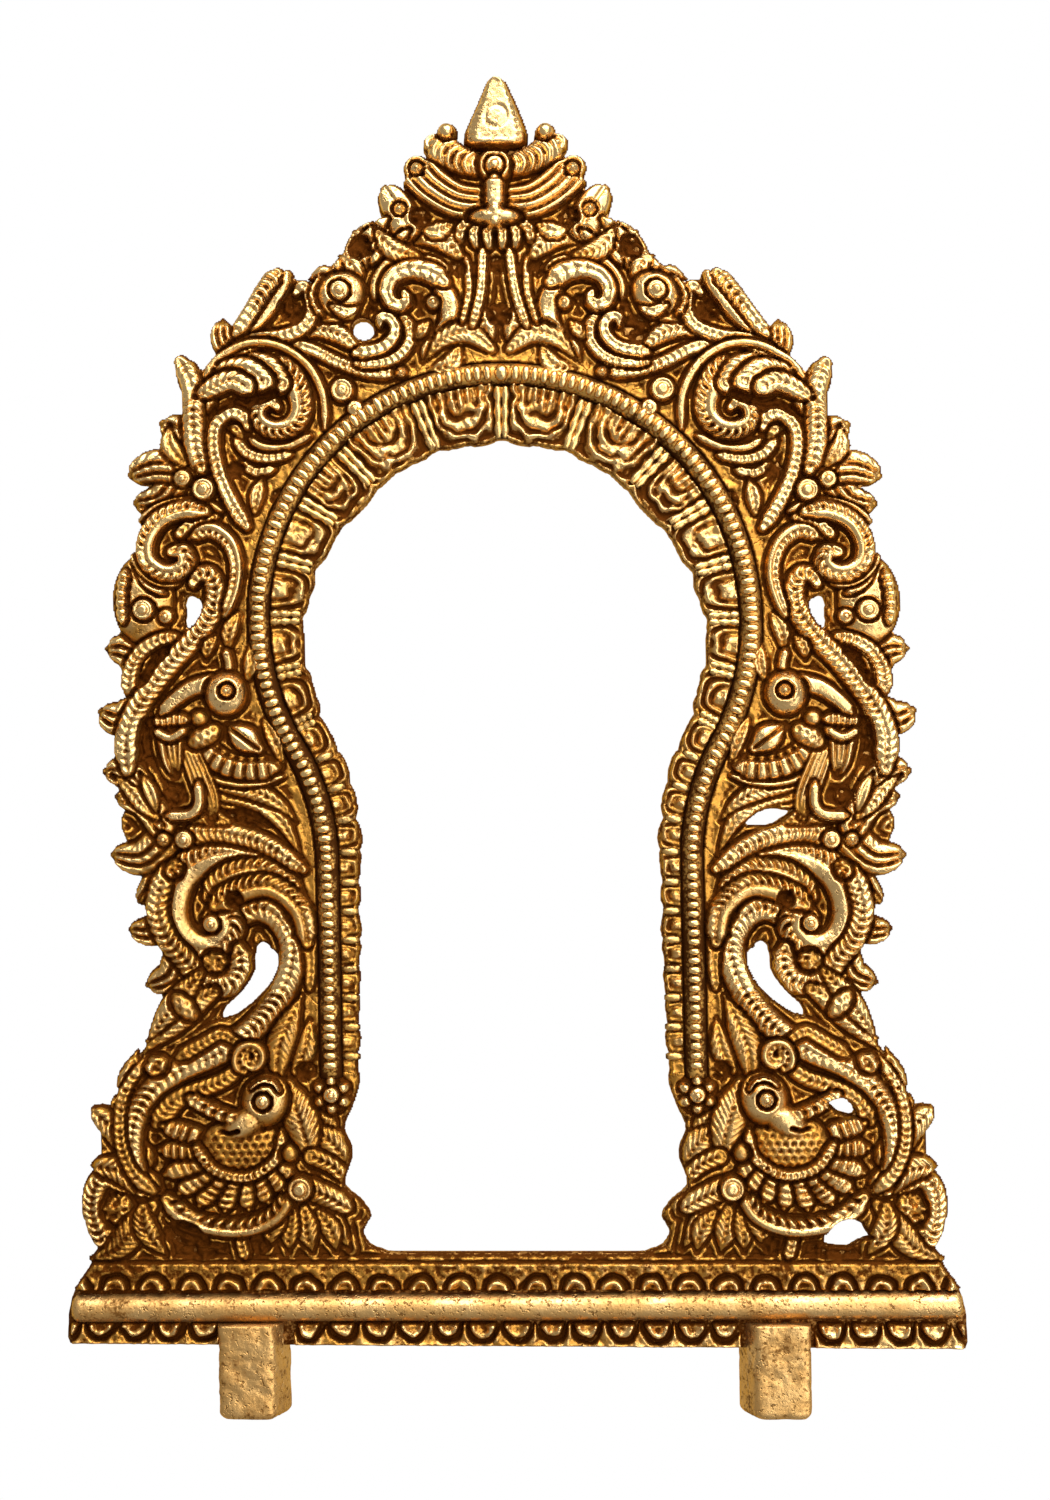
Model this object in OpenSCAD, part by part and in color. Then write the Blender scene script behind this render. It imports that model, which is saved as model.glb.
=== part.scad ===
// Brass prabhavali: the pierced arch that stands behind a small temple figure.
// Sizes are in mm. X runs to the right seen from the front, Z up, and the front faces -Y.
// The relief stands on the plane y = 0, and z = 0 is the shoulder above the two tenons.

/* [Overall] */
// Height from the tenon shoulder to the tip of the finial
arch_h = 214.6; // [150:0.1:320]
// How far the hand-built arch leans to its left at the tip
lean = 3.3; // [0:0.1:6]
// Thickness of the back plate
plate_t = 3.5; // [2:0.1:6]
// Plate left showing around each piece of the relief
margin = 0.35; // [0.1:0.05:1]
// Gap between two pieces of the relief
seam = 0.12; // [0.05:0.01:0.3]

/* [Relief heights] */
// Scrolls and stems above the ground
scroll_h = 2.8; // [1:0.1:5]
// Leaves at the edge
leaf_h = 2; // [1:0.1:4]
// Heads of the birds and of the mask
head_h = 3.8; // [2:0.1:6]
// Raised rib under the beads
moulding_h = 1.9; // [1:0.1:3]

/* [Keyhole] */
// Radius of the bead circle
bead_r = 42; // [30:0.1:60]
// Half the distance between the straight bead legs
leg_x = 31; // [20:0.1:45]
// Width of the ledge between the bead circle and the round opening
ledge_w = 7.2; // [4:0.1:12]
// Distance between two beads along the row
bead_pitch = 1.62; // [1.2:0.01:3]
// Length of one bead across the row
bead_len = 2.6; // [1.5:0.1:4]

/* [Base] */
// Half the width of the foot
foot_x = 76.3; // [50:0.1:110]
// Height of the half-round rail
rail_d = 4.3; // [3:0.1:8]
// Distance from the middle to each tenon
tenon_x = 44.2; // [30:0.1:60]
// Width of a tenon at the back
tenon_w = 12.4; // [8:0.1:20]
// Length of a tenon below the shoulder
tenon_l = 13.3; // [6:0.1:25]
// Thickness of a tenon
tenon_t = 7; // [4:0.1:12]
// Taper of a tenon from back to front, on each side
tenon_draft = 1; // [0:0.1:3]

/* [Hidden] */

brass = "#c8963e";
pale = "#d9ae5a";
dark = "#9c6b2a";
// The plan is laid out for this height and follows arch_h from there
full = 214.6;
k = arch_h / full;
// Reverse arcs lead from the bead circle into the straight legs and set the height of its centre
lead_r = 38;
leg_z = 82;
function circle_z(r) = leg_z + sqrt(pow(r + lead_r, 2) - pow(leg_x + lead_r, 2));
bead_z = circle_z(bead_r);
opening_r = bead_r - ledge_w;
// The ornament is laid out round a bead circle of this radius and centre, and follows bead_r from there
plan = [42, circle_z(42)];
lap = atan2(leg_z - bead_z, leg_x + lead_r);
rosette_z = 42;
opening_drop = 4;
sill_z = 14.8;
moulding_w = 4.8;
rail_z = 3.7;
main_l = bead_r * (90 - lap) * PI / 180;
lead_l = lead_r * -lap * PI / 180;
row_l = main_l + lead_l + leg_z - rosette_z - 3.5;
// Side of the arch that is drawn, 1 is the right, and whether only its footprint is wanted
$s = 1;
$flat = false;

// A plan point of the right half, put on its side of the leaning arch
function at(p, s = $s) = k * [s * p[0] - lean * p[1] / full, p[1]];
// The same for a point of the ornament, which above the legs grows with the bead circle
function free(p) = max(0, min(1, (p[1] - leg_z) / 20));
function grow(p) = 1 + free(p) * (bead_r / plan[0] - 1);
function on(p, s = $s) = at(mix(p, [0, bead_z] + (p - [0, plan[1]]) * bead_r / plan[0], free(p)), s);
function mix(a, b, t) = a + (b - a) * t;
// Smooth curve through the points, n steps between two of them
function knot(a, b, c, d, t) = 0.5 * (2 * b + (c - a) * t + (2 * a - 5 * b + 4 * c - d) * t * t
  + (3 * b - a - 3 * c + d) * t * t * t);
function curve(p, n) = [for (i = [0 : len(p) - 2], j = [0 : n - (i < len(p) - 2 ? 1 : 0)])
  knot(p[max(i - 1, 0)], p[i], p[i + 1], p[min(i + 2, len(p) - 1)], j / n)];
// Point at the share t of such a curve
function along(p, t) = let (u = min(t, 0.9999) * (len(p) - 1), i = floor(u))
  knot(p[max(i - 1, 0)], p[i], p[i + 1], p[min(i + 2, len(p) - 1)], u - i);
// Volute that shrinks evenly from radius r0 to r1 while it turns from angle a0 to a1
function volute(c, r0, r1, a0, a1, n) = [for (i = [0 : n]) let (t = i / n, r = r0 * pow(r1 / r0, t),
  a = mix(a0, a1, t)) c + r * [cos(a), sin(a)]];
function arc(c, r, a0, a1, n) = volute(c, r, r, a0, a1, n);
function dir(p, i) = let (d = p[min(i + 1, len(p) - 1)] - p[max(i - 1, 0)]) d / max(norm(d), 0.001);
// Share of the full width at t: a stem keeps it, a leaf swells and comes to a point, a petal ends round
function share(kind, t) = kind == "leaf" ? max(0.1, sin(180 * (0.14 + 0.86 * t)))
  : kind == "petal" ? sqrt(max(0.12, 1 - pow(t, 3))) : (t < 0.001 || t > 0.999) ? 0.6 : 1;

// Raised strip along a path: crowned section, w at its start and end, ribs by alternate rings
module strip(q, w, h, kind, rib) {
  m = len(q) - 1;
  half = [for (i = [0 : m]) k / 2 * mix(w[0], w[1], i / m) * share(kind, i / m)
    * (i % 2 == 1 ? 1 - rib : 1)];
  side = [for (i = [0 : m]) let (d = dir(q, i)) [-d[1], d[0]]];
  if ($flat)
    polygon(concat([for (i = [0 : m]) q[i] + side[i] * half[i]],
      [for (i = [m : -1 : 0]) q[i] - side[i] * half[i]]));
  else {
    top = [for (i = [0 : m]) h * mix(0.6, 1, share(kind, i / m)) * (i % 2 == 1 ? 1 - rib / 2 : 1)];
    ring = [for (i = [0 : m], e = [[-1, 0], [-0.5, 1], [0.5, 1], [1, 0]])
      let (p = q[i] + side[i] * half[i] * e[0]) [p[0], -top[i] * e[1], p[1]]];
    polyhedron(ring, concat([[3, 2, 1, 0]],
      [for (i = [0 : m - 1], j = [0 : 3], f = [[0, 1, 4], [1, 5, 4]])
        [for (v = f) 4 * i + (v % 4 + j) % 4 + 4 * floor(v / 4)]],
      [[for (j = [0 : 3]) 4 * m + j]]));
  }
}
module stem(p, w, h = scroll_h, n = 2, rib = 0.12)
  strip([for (q = curve(p, n)) on(q)], w * grow(p[0]), h, "stem", rib);
module leaf(p, w, h = leaf_h, n = 2) strip([for (q = curve(p, n)) on(q)], [w, w] * grow(p[0]), h, "leaf",
  0);
module petal(p, w, h = leaf_h, n = 3) strip([for (q = curve(p, n)) on(q)], w * grow(p[0]), h, "petal", 0);
module scroll(q, w, h = scroll_h) strip([for (p = q) on(p)], w * grow(q[0]), h, "stem", 0.1);

// Round boss, as used for eyes and berries
module eye(c, r, h = scroll_h) {
  p = on(c);
  g = k * grow(c);
  if ($flat) translate(p) circle(r = r * g, $fn = 9);
  else translate([p[0], 0, p[1]]) rotate([90, 0, 0])
    cylinder(r1 = r * g, r2 = r * g * 0.7, h = h, $fn = 9);
}
// Low oval dome
module dome(c, rx, rz, h, turn = 0) {
  p = on(c);
  g = k * grow(c);
  $fn = rx > 2.6 ? 10 : 7;
  if ($flat) translate(p) rotate($s * turn) scale([rx * g, rz * g]) circle(r = 1);
  else translate([p[0], 0, p[1]]) rotate([90, 0, 0]) rotate($s * turn) hull() {
    linear_extrude(height = 0.3) scale([rx * g, rz * g]) circle(r = 1);
    linear_extrude(height = h * 0.75) scale([rx * g * 0.8, rz * g * 0.8]) circle(r = 1);
    linear_extrude(height = h) scale([rx * g * 0.4, rz * g * 0.4]) circle(r = 1);
  }
}
// The first child as relief of height h on side s, cut back by the seam around all the others
module relief(s, h) {
  $s = s;
  resize([0, h, 0]) difference() {
    children(0);
    if ($children > 1) rotate([90, 0, 0]) translate([0, 0, -1]) linear_extrude(height = 30)
      offset(delta = seam) footprint(s) children([1 : $children - 1]);
  }
}
module footprint(s) {
  $s = s;
  $flat = true;
  children();
}

// Point of the bead path at the distance u from its top, and the direction away from the opening
function bead_at(u) = u < main_l ? let (a = 90 - u / bead_r * 180 / PI)
    [[bead_r * cos(a), bead_z + bead_r * sin(a)], [cos(a), sin(a)]]
  : u < main_l + lead_l ? let (a = 180 + lap + (u - main_l) / lead_r * 180 / PI)
    [[leg_x + lead_r + lead_r * cos(a), leg_z + lead_r * sin(a)], [-cos(a), -sin(a)]]
  : [[leg_x, leg_z - u + main_l + lead_l], [1, 0]];
// Ledge between the bead path and the opening, widest at the top because their centres differ
function ledge(u) = let (a = max(90 - u / bead_r * 180 / PI, lap)) bead_r + opening_drop * sin(a)
  - sqrt(pow(opening_r, 2) - pow(opening_drop * cos(a), 2));
function inside(u, d) = bead_at(u)[0] - d * bead_at(u)[1];

// Half of the keyhole, from its top down the leg, then the wavy foot and the sill
module keyhole() polygon([for (p = concat([[-1, sill_z], [-1, inside(0, ledge(0))[1]]],
  [for (u = [0 : 4 : row_l]) inside(u, ledge(u))],
  curve([[26, 45], [27.3, 41.5], [29.6, 38.5], [29.9, 35.5], [28.6, 32.5], [29.3, 28.5],
    [27.6, 25.5], [26.2, 22.5], [27.4, 19.5], [26.4, 16.5], [24.5, sill_z]], 2))) at(p)]);
// Half of the body behind the relief, before the leaves are added to it
module body() polygon([for (p = concat([[-1, margin], [foot_x - margin, margin], [foot_x - 0.4 - margin,
  6]],
  curve([[75, 9], [72, 13.5], [66.5, 20], [66, 30], [63, 40], [60, 52], [56.5, 62], [58.5, 72], [60, 82],
    [61.5, 92], [63.5, 100], [63.5, 108], [63, 115], [62.5, 122], [62.5, 134], [61, 141],
    [57.5, 149], [53.5, 157], [49.5, 164], [44.5, 169.5], [38, 174], [31, 178], [26, 184],
    [20, 189], [16, 194], [12.5, 200]], 2), [[-1, 201]])) on(p)]);
// Openings cut right through between the scrolls
module piercings() {
  stem([[42, 68.3], [41.6, 64.5], [44, 60.3], [48.8, 56.4]], [4.2, 2.2]);
  stem([[53.6, 127.5], [53.2, 124.6], [54.2, 121.6]], [3.4, 1.6]);
  leaf([[40.8, 88.3], [44.6, 89.4], [48.6, 90.4]], 2.8);
  leaf([[52.8, 17.2], [56.4, 18.5], [60.2, 17.8]], 4.6);
  dome([22.8, 172.3], 2, 2, 1);
}

// Shapes of the relief, laid out for the right half

module peacock_shape() {
  dome([42.1, 41], 4.1, 4.3, head_h);
  eye([42.3, 41.4], 1.5, head_h + 0.5);
  stem([[39.7, 42.6], [40.7, 44.2], [42.3, 44.5], [44, 43]], [1, 1], head_h - 0.2);
  leaf([[44.4, 39.6], [47.1, 40], [50, 39]], 2.2, 2.6);
  leaf([[44.4, 37.4], [47.1, 36.2], [50.1, 35.2]], 2.4, 2.6);
  scroll(volute([44.3, 48.7], 3, 0.9, 240, -200, 11), [1.7, 1.2]);
  leaf([[39.5, 46], [38.8, 52], [36.2, 58]], 2.6, 2.4);
  leaf([[38.7, 43], [36, 37], [34.9, 30.5]], 3.4, 2.6);
  leaf([[34.2, 38.5], [30.5, 35], [28.3, 30.5]], 3.6, 2.4);
  dome([45.9, 33.4], 5, 3, 3);
  stem(peacock_ridge, [1.3, 1.3], 3.2, 2, 0);
  for (i = [0.5 : 8.5]) petal([along(peacock_ridge, i / 9), along(peacock_rim, i / 9)], [1.3, 3], 2.6, 2);
  for (i = [0 : 3]) eye(along([[40.4, 23.5], [44.8, 21], [48.3, 20.4], [52.3, 21.8]], i / 3), 1.9, 2);
  leaf([[46.7, 19.6], [48.5, 17.4], [49.6, 15]], 2.8, 1.8);
  eye([36.7, 26], 2);
  stem([[36.9, 24.5], [32.8, 20.5], [28.8, 16.4]], [2.4, 1.6], 2.2);
  stem([[35, 24.5], [30.4, 23.2], [26.3, 22.3]], [2.8, 2.4], 2.2);
  stem([[36.8, 24.5], [35.5, 20.5], [34.9, 15.8]], [2, 1.6], 2);
  stem([[39.4, 23], [41.3, 19.5], [42.2, 16]], [2.2, 1.6], 2);
}
peacock_ridge = [[39.7, 34], [41, 30.5], [45.4, 28.6], [50, 29.8], [52.5, 33.5]];
peacock_rim = [[39.3, 29.5], [41, 25.5], [45.4, 23.3], [50.4, 22.7], [54.9, 24.5], [57.6, 28.5], [58.2,
  33], [57.1, 36.5]];

module peacock_tail_shape() {
  stem([[59.9, 25.3], [65.4, 27.2], [69.5, 29.3], [72, 26], [72.5, 22], [71.3, 17]], [2.4, 2], 2.4, 3);
  stem([[60.4, 23.6], [64.3, 20.5], [67.8, 16.8], [71.2, 14.3]], [2.4, 1.8], 2.2);
  stem([[59.8, 22.8], [61.3, 19.2], [60.7, 15]], [2.2, 1.6], 2);
  dome([67.2, 22.8], 3.2, 2.8, 1.4);
  leaf([[62.8, 28.8], [65.9, 33.5], [70.4, 37.2]], 5, 2.4);
  leaf([[63.4, 36.5], [65.2, 40.5], [63.4, 48.5]], 3.6, 2);
}

module lower_stem_shape() {
  stem([[60.6, 26.5], [62.5, 33], [62.1, 38], [59.7, 43], [55.7, 46.5], [49.8, 49.5], [44.8, 53], [40.9,
    57], [38.3, 61.5], [37.4, 66], [38.4, 70], [40.6, 72.6], [43.6, 73.2], [45.7, 71.4]], [2.9, 2.3]);
  stem([[46.9, 46.8], [49.9, 44.6], [53.7, 43], [56.6, 41.2], [59, 37.6]], [2.2, 1.8], 2.4);
  eye([59.1, 47.6], 1.8, 2.2);
  leaf([[50.5, 56], [51.8, 52], [55.8, 48.8]], 1.6, 1.8);
}

module lower_scroll_shape() {
  scroll(volute([50.7, 71.6], 13.6, 1.5, 172, -280, 26), [3.5, 1.6], scroll_h + 0.3);
  stem([[35.1, 68], [35.7, 73.5], [39.7, 78]], [2.2, 1.8], 2.2, 3);
  leaf([[41.7, 76.6], [45.7, 77.4], [49.8, 75.2]], 2.2, 2.2);
  stem([[57.7, 81], [59.6, 75], [58.7, 69.7], [56, 66], [53.5, 63.2], [51, 61.5], [48, 61.4], [46.2,
    63.8], [46.5, 66.6]],
    [2.6, 2.2]);
  eye([50.4, 64.8], 2, 2.2);
  eye([56.3, 79.6], 1.5, 2.2);
  stem([[36.2, 80.5], [40.3, 84], [45.3, 86], [50.3, 87], [53.3, 86.2]], [2.6, 2.4]);
  eye([54.7, 85.4], 1.7, 3);
  leaf([[56.5, 84], [57.8, 85.6], [60.9, 86]], 3, 2.2);
}

module parrot_shape() {
  dome([47.5, 109.5], 3.6, 4, head_h, 12);
  eye([47.3, 110.2], 1.5, head_h + 0.4);
  leaf([[46.6, 113.2], [46.8, 116], [47.8, 119]], 2.2, 2.2);
  dome([44.9, 103.2], 3.3, 2, 3, 32);
  stem([[49.3, 112.4], [53.2, 111.6], [56.2, 109.4], [58.5, 106.8]], [3, 2.6], 2.6);
  for (i = [0 : 2]) leaf([[54, 105.8] + [0.2 * i, -i * 1.5], [59, 105] + [-0.3 * i, -i * 1.4]], 1.5, 2.4,
    3);
  eye([51.6, 106.4], 1.8, 2.2);
  stem(parrot_ridge, [1.2, 1.2], 2.8, 2, 0);
  for (i = [0.5 : 5.5]) petal([along(parrot_ridge, i / 6), along(parrot_rim, i / 6)], [1.5, 2.8], 2.4, 2);
  stem([[54.1, 99.6], [52.5, 96], [51.6, 93], [52.2, 90.8], [57.8, 90.2]], [3.2, 1.9], 2.6);
  stem([[57.6, 101], [58.1, 98.5], [57.5, 96.2]], [2.6, 1.8], 2.2);
  stem([[50.1, 94.6], [45.5, 93.8], [40.9, 93.4], [37.4, 91.4], [36.1, 88.6]], [1.8, 1.3], 2.2);
}
parrot_ridge = [[40.8, 102.4], [43.5, 99.7], [47.5, 99], [50.6, 100.3], [52.2, 103]];
parrot_rim = [[38.4, 99], [40.9, 96.4], [45.5, 95.5], [50, 96.4], [53.8, 100]];

module middle_stem_shape() {
  stem([[53.2, 129.2], [51, 130.8], [49, 130], [48.3, 127.5], [48.9, 124], [51.9, 119.5], [55.8, 115.5],
    [59.7, 110.5], [62.6, 106], [64.1, 102], [63.8, 98]], [2.4, 2.8]);
  stem([[55.5, 119.4], [59.6, 118.4], [62.6, 116], [63.5, 111.6]], [2.2, 2.2], 2.4);
  eye([50.4, 116.6], 1.3, 2);
}

module middle_scroll_shape() {
  scroll(volute([55.9, 133.6], 9.4, 1.4, 100, -280, 21), [3.4, 1.6], scroll_h + 0.3);
  stem([[46.3, 125.5], [44.8, 131], [46.1, 136], [49.6, 139.8], [54, 142]], [2.4, 2.8], 2.6);
  leaf([[49.1, 134.5], [50.6, 138], [54.7, 137.8]], 2.6, 2.2);
  leaf([[43.3, 138], [47.2, 142], [51.4, 145], [55.3, 147.6]], 4.2, 2.8);
  eye([51.4, 144.8], 1.7, 3.4);
  eye([55.9, 147.8], 1.4, 2.4);
}

module makara_bud_shape() {
  leaf([[59.8, 131.4], [61.5, 125.5], [62.8, 117.6]], 9, 3);
  leaf([[62.6, 128], [64.5, 131], [65.4, 134.6]], 3.6, 2.4);
  eye([61.6, 124.5], 1.9, 3.8);
}

module upper_scroll_shape() {
  scroll(volute([38.7, 158.6], 12, 1.5, 20, 440, 25), [3.6, 1.6], scroll_h + 0.3);
  leaf([[46.9, 164], [49.5, 163], [51.9, 160.4]], 3, 2.4);
  stem([[49.7, 146.8], [50.6, 152], [50, 156.6], [47.5, 158.4], [44.8, 157]], [2.2, 1.6], 2.4);
  leaf([[47.7, 149], [47.8, 153], [44.8, 155]], 1.9, 2);
  leaf([[44.3, 148.5], [40.9, 150.2], [37.7, 149.6]], 2.2, 2);
  leaf([[24, 157.8], [26.9, 161], [31, 166.4]], 4.2, 2.6);
  eye([27, 161.4], 1.8, 3.2);
}

module upper_stem_shape() {
  stem([[51.7, 147.6], [52.8, 153], [52.9, 158.5], [51.3, 163.4], [47.6, 167.2], [42.6, 169.8], [37,
    170.6], [33.1, 173], [32.2, 178.4]],
    [2.4, 2]);
  eye([35.5, 175], 1.8, 1.6);
}

module crown_scroll_shape() {
  scroll(volute([15.4, 178], 8, 1.4, 250, -170, 22), [3.2, 1.5], scroll_h + 0.3);
  scroll(volute([18.9, 171.6], 4.2, 1, -60, -380, 11), [2, 1.3], 2.4);
  stem([[20, 168], [24.1, 166.4], [29.1, 168.4], [32.2, 170.6]], [2, 1.8], 2.2);
  leaf([[24.2, 169.8], [27.7, 172], [31.5, 172.4]], 2.6, 2.2);
  leaf([[21.4, 183.4], [26.2, 178.6], [30.3, 174.6]], 7, 2.8);
  eye([26.6, 178], 1.7, 3.4);
}

module edge_leaves_shape() {
  // Root, tip and width of each leaf along the edge, from the foot to the crown
  for (e = [[[54, 61.5], [64, 49.5], 7], [[56.5, 66], [61.2, 61.3], 3.5], [[58.5, 72.5], [65, 69.5], 4.5],
    [[59.5, 82.5], [62.5, 75.3], 3], [[58.5, 85.5], [66.7, 83], 4.5], [[59, 88], [65.8, 92.5], 3.5],
    [[62.5, 94], [68.2, 96.8], 4], [[63.5, 107.5], [69.5, 107], 4.5], [[62.8, 115.5], [67.9, 117.6], 4],
    [[56.5, 146.5], [62.5, 142.8], 3.5], [[56, 149], [63.7, 148.6], 5], [[54, 150], [58, 156], 4.5],
    [[52, 160.5], [55.6, 165.8], 4], [[46.5, 168], [47.7, 174.5], 4], [[44, 172], [36, 182.3], 5]])
    leaf([e[0], e[1]], e[2], leaf_h, 3);
}

module mask_ear_shape() {
  stem([[17, 189.4], [21.6, 188.8], [25.6, 184.6], [29.4, 180.4]], [3, 2.2], 2.6);
  dome([18.5, 194.3], 2.5, 2.5, 2.8);
  eye([16.6, 192], 1.7, 3);
}

module mask_shape() {
  for (side = [-1, 1]) let ($s = side) {
    stem([[9.3, 203.4], [6.4, 202.6], [3, 200]], [3.6, 3], 3.4, 3, 0.2);
    eye([9.2, 205], 1.7, 3);
    for (i = [0 : 2]) stem([[14.2 - i * 0.9, 200.6 - i * 2.3], [9, 198.2 - i * 1.9], [3, 195.4 - i * 1.5]],
      [2, 1.4], head_h - 0.5 * i, 2);
    stem([[4.6, 191.4], [2.6, 192.4], [0, 191.6]], [1.6, 3], 4.2, 2, 0);
    for (i = [0 : 2]) eye([1.5 + i * 2.8, 187.8 + i * 0.4], 1.4, 2.6);
    eye([13.4, 195.6], 1.2, 2.8);
  }
  stem([[0, 197.2], [0, 195], [0, 192.4]], [2.4, 3.4], 4.4, 2, 0);
  dome([0, 190.2], 1.8, 1.7, 4);
  dome([0, 199.6], 2.2, 2.6, 3.6);
  eye([0, 199.6], 1.3, 4.2);
}

module finial_shape() {
  if ($flat) polygon([for (p = [[-5.6, 203.6], [0, 202.4], [5.6, 203.6], [3.6, 209.5], [1.4, 213.8],
    [0, full], [-1.4, 213.8], [-3.6, 209.5]]) on(p)]);
  else {
    stem([[0, 202.8], [0, 206], [0, 210], [0, full - 0.2]], [11, 3.6], 3, 2, 0);
    eye([0, 207.8], 1.8, 3.5);
  }
}

module crown_leaves_shape() {
  for (side = [-1, 1]) let ($s = side) {
    leaf([[1.2, 168.9], [5.5, 171], [9.5, 170], [12.5, 167.4]], 3, 2.2, 2);
    leaf([[2.4, 185], [3.4, 178.5], [4.4, 172.6]], 2.2, 2.4);
  }
}

// The bead row with its moulding as one footprint, for the pieces that end against it
module moulding_foot() strip([for (u = [0 : 4 : row_l + 3]) at(bead_at(u)[0])],
  [moulding_w, moulding_w], 1, "rail", 0);
module all_foot() {
  peacock_shape();
  peacock_tail_shape();
  lower_stem_shape();
  lower_scroll_shape();
  parrot_shape();
  middle_stem_shape();
  middle_scroll_shape();
  makara_bud_shape();
  upper_scroll_shape();
  upper_stem_shape();
  crown_scroll_shape();
  edge_leaves_shape();
  mask_ear_shape();
}

// The pierced plate behind everything, a margin wider than the relief on it
module back_plate() color(dark) rotate([90, 0, 0]) translate([0, 0, -plate_t])
  linear_extrude(height = plate_t) offset(delta = margin) difference() {
    union() {
      difference() {
        for (s = [-1, 1]) footprint(s) body();
        for (s = [-1, 1]) footprint(s) keyhole();
      }
      for (s = [-1, 1]) footprint(s) all_foot();
      footprint(1) mask_shape();
      footprint(1) finial_shape();
    }
    offset(delta = margin) for (s = [-1, 1]) footprint(s) piercings();
  }

// Tenon: the full thickness below the shoulder, lapped onto the front of the plate above it
module tenon(s) color(dark) translate([s * tenon_x, 0, 0]) intersection() {
  rotate([90, 0, 90]) translate([0, 0, -tenon_w]) linear_extrude(height = 2 * tenon_w)
    polygon([[-tenon_t / 2, rail_z - 0.2], [0, rail_z - 0.2], [0, -seam], [plate_t, -seam],
      [plate_t, 0.6 - tenon_l], [plate_t - 0.6, -tenon_l], [0.6 - tenon_t / 2, -tenon_l],
      [-tenon_t / 2, 0.6 - tenon_l]]);
  translate([0, 0, -2 * tenon_l]) linear_extrude(height = 3 * tenon_l)
    polygon([[-tenon_w / 2, plate_t], [tenon_w / 2, plate_t],
      [tenon_w / 2 - tenon_draft, -tenon_t / 2], [tenon_draft - tenon_w / 2, -tenon_t / 2]]);
}
module left_tenon() tenon(-1);
module right_tenon() tenon(1);

// Half-round rail along the foot
module base_rail() color(pale) translate([0, 0, rail_z + rail_d / 2]) rotate([90, 0, 90])
  translate([0, 0, 0.8 - foot_x]) linear_extrude(height = 2 * foot_x - 1.6) intersection() {
    scale(1) circle(r = rail_d / 2, $fn = 48);
    translate([-rail_d, -rail_d]) square([rail_d, 2 * rail_d]);
  }

// Half ring standing on the plate, open downwards, or hanging when turned
module scallop(x, z, r, turn) translate([x, 0, z]) rotate([90, 0, 0]) rotate(turn) {
  rotate_extrude(angle = 180) polygon([[r - 0.9, 0], [r, 0], [r - 0.25, 1.1], [r - 0.65, 1.1]]);
  rotate_extrude(angle = 180) polygon([[0, 0], [r - 1.2, 0], [r - 1.6, 0.7], [0, 0.9]]);
}
module lower_scallops() color(brass) {
  pitch = 5.9;
  for (i = [-12 : 12])
    if (abs(abs(i * pitch) - tenon_x) > tenon_w / 2 + 2.6) scallop(i * pitch, 3.4, 2.5, 180);
}
module upper_scallops() color(brass) {
  pitch = 6.5;
  for (i = [-10.5 : 10.5]) scallop(i * pitch, 9.6, 2.6, 0);
}

module bead_moulding() color(brass) rotate([90, 0, 0]) linear_extrude(height = moulding_h) {
  u = [for (i = [-42 : 42]) i * row_l / 42];
  polygon([for (side = [1, -1], i = side * u) at(bead_at(abs(i))[0] + side * bead_at(abs(i))[1]
    * moulding_w / 2, i < 0 ? -1 : 1)]);
}
// Half barrels across the moulding, with one larger round bead at the top
module bead_row() color(pale) {
  b = bead_pitch * 0.48;
  l = bead_len / 2;
  for (s = [-1, 1], u = [1.5 * bead_pitch : bead_pitch : row_l - 1]) {
    n = bead_at(u)[1];
    p = at(bead_at(u)[0], s);
    translate([p[0], -moulding_h, p[1]]) rotate([90, 0, 0])
      rotate(atan2(n[1], s * n[0]) + 90) rotate([90, 0, 0]) rotate_extrude(angle = 180)
      polygon([[0, -l], [b * 0.6, -l], [b, -l * 0.4], [b, l * 0.4], [b * 0.6, l], [0, l]]);
  }
  p = at(bead_at(0)[0]);
  translate([p[0], -moulding_h, p[1]]) rotate([90, 0, 0]) cylinder(r1 = 1.4, r2 = 1.1, h = 1.4);
}

// Bars at these distances along the row split the ledge into bays, each with one petal
bars = [for (u = [0, 15.5, 32, 44, 55, 65.5, 75.5, 85.5]) u * bead_r / plan[0]];
function top_of(u) = inside(u, moulding_w / 2 + 0.3);
function foot_of(u) = inside(u, ledge(u) - 0.5);
module lotus(top, foot, w) strip([for (q = curve([top, foot], 6)) at(q)], [w, w], 1, "petal", 0);
// Each petal is a low pad with a narrower one raised on it
module lotus_petals() color(brass) rotate([90, 0, 0])
  for (s = [-1, 1], i = [0 : len(bars) - 2]) let ($s = s, $flat = true) {
    u = (bars[i] + bars[i + 1]) / 2;
    w = (bars[i + 1] - bars[i]) * 0.8 - 1.6;
    linear_extrude(height = 1) lotus(top_of(u), foot_of(u), w);
    linear_extrude(height = 1.6) lotus(mix(top_of(u), foot_of(u), 0.06), mix(top_of(u), foot_of(u), 0.8),
      w * 0.62);
  }
// Half-round turned bars with three rings, plain where the ledge narrows along the legs
module bar(u, s, w, rings) {
  p = at(top_of(u), s);
  n = bead_at(u)[1];
  l = norm(top_of(u) - foot_of(u)) * k;
  translate([p[0], 0, p[1]]) rotate([90, 0, 0]) rotate(atan2(n[1], s * n[0]) + 90) rotate([90, 0, 0])
    rotate_extrude(angle = 180) polygon(concat([[0, 0]], [for (i = [0 : rings - 1], e = [[0.1, 0.7],
      [0.3, 1],
      [0.7, 1], [0.9, 0.7]]) [w / 2 * e[1], -l * (i + e[0]) / rings]], [[0, -l]]));
}
module petal_bars() color(pale) {
  for (s = [-1, 1], u = bars) if (u > 0 || s > 0) bar(u, s, 2.2, 3);
  for (s = [-1, 1], u = [bars[7] + 6.5 : 5 : row_l - 2]) bar(u, s, 1.9, 1);
}

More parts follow.
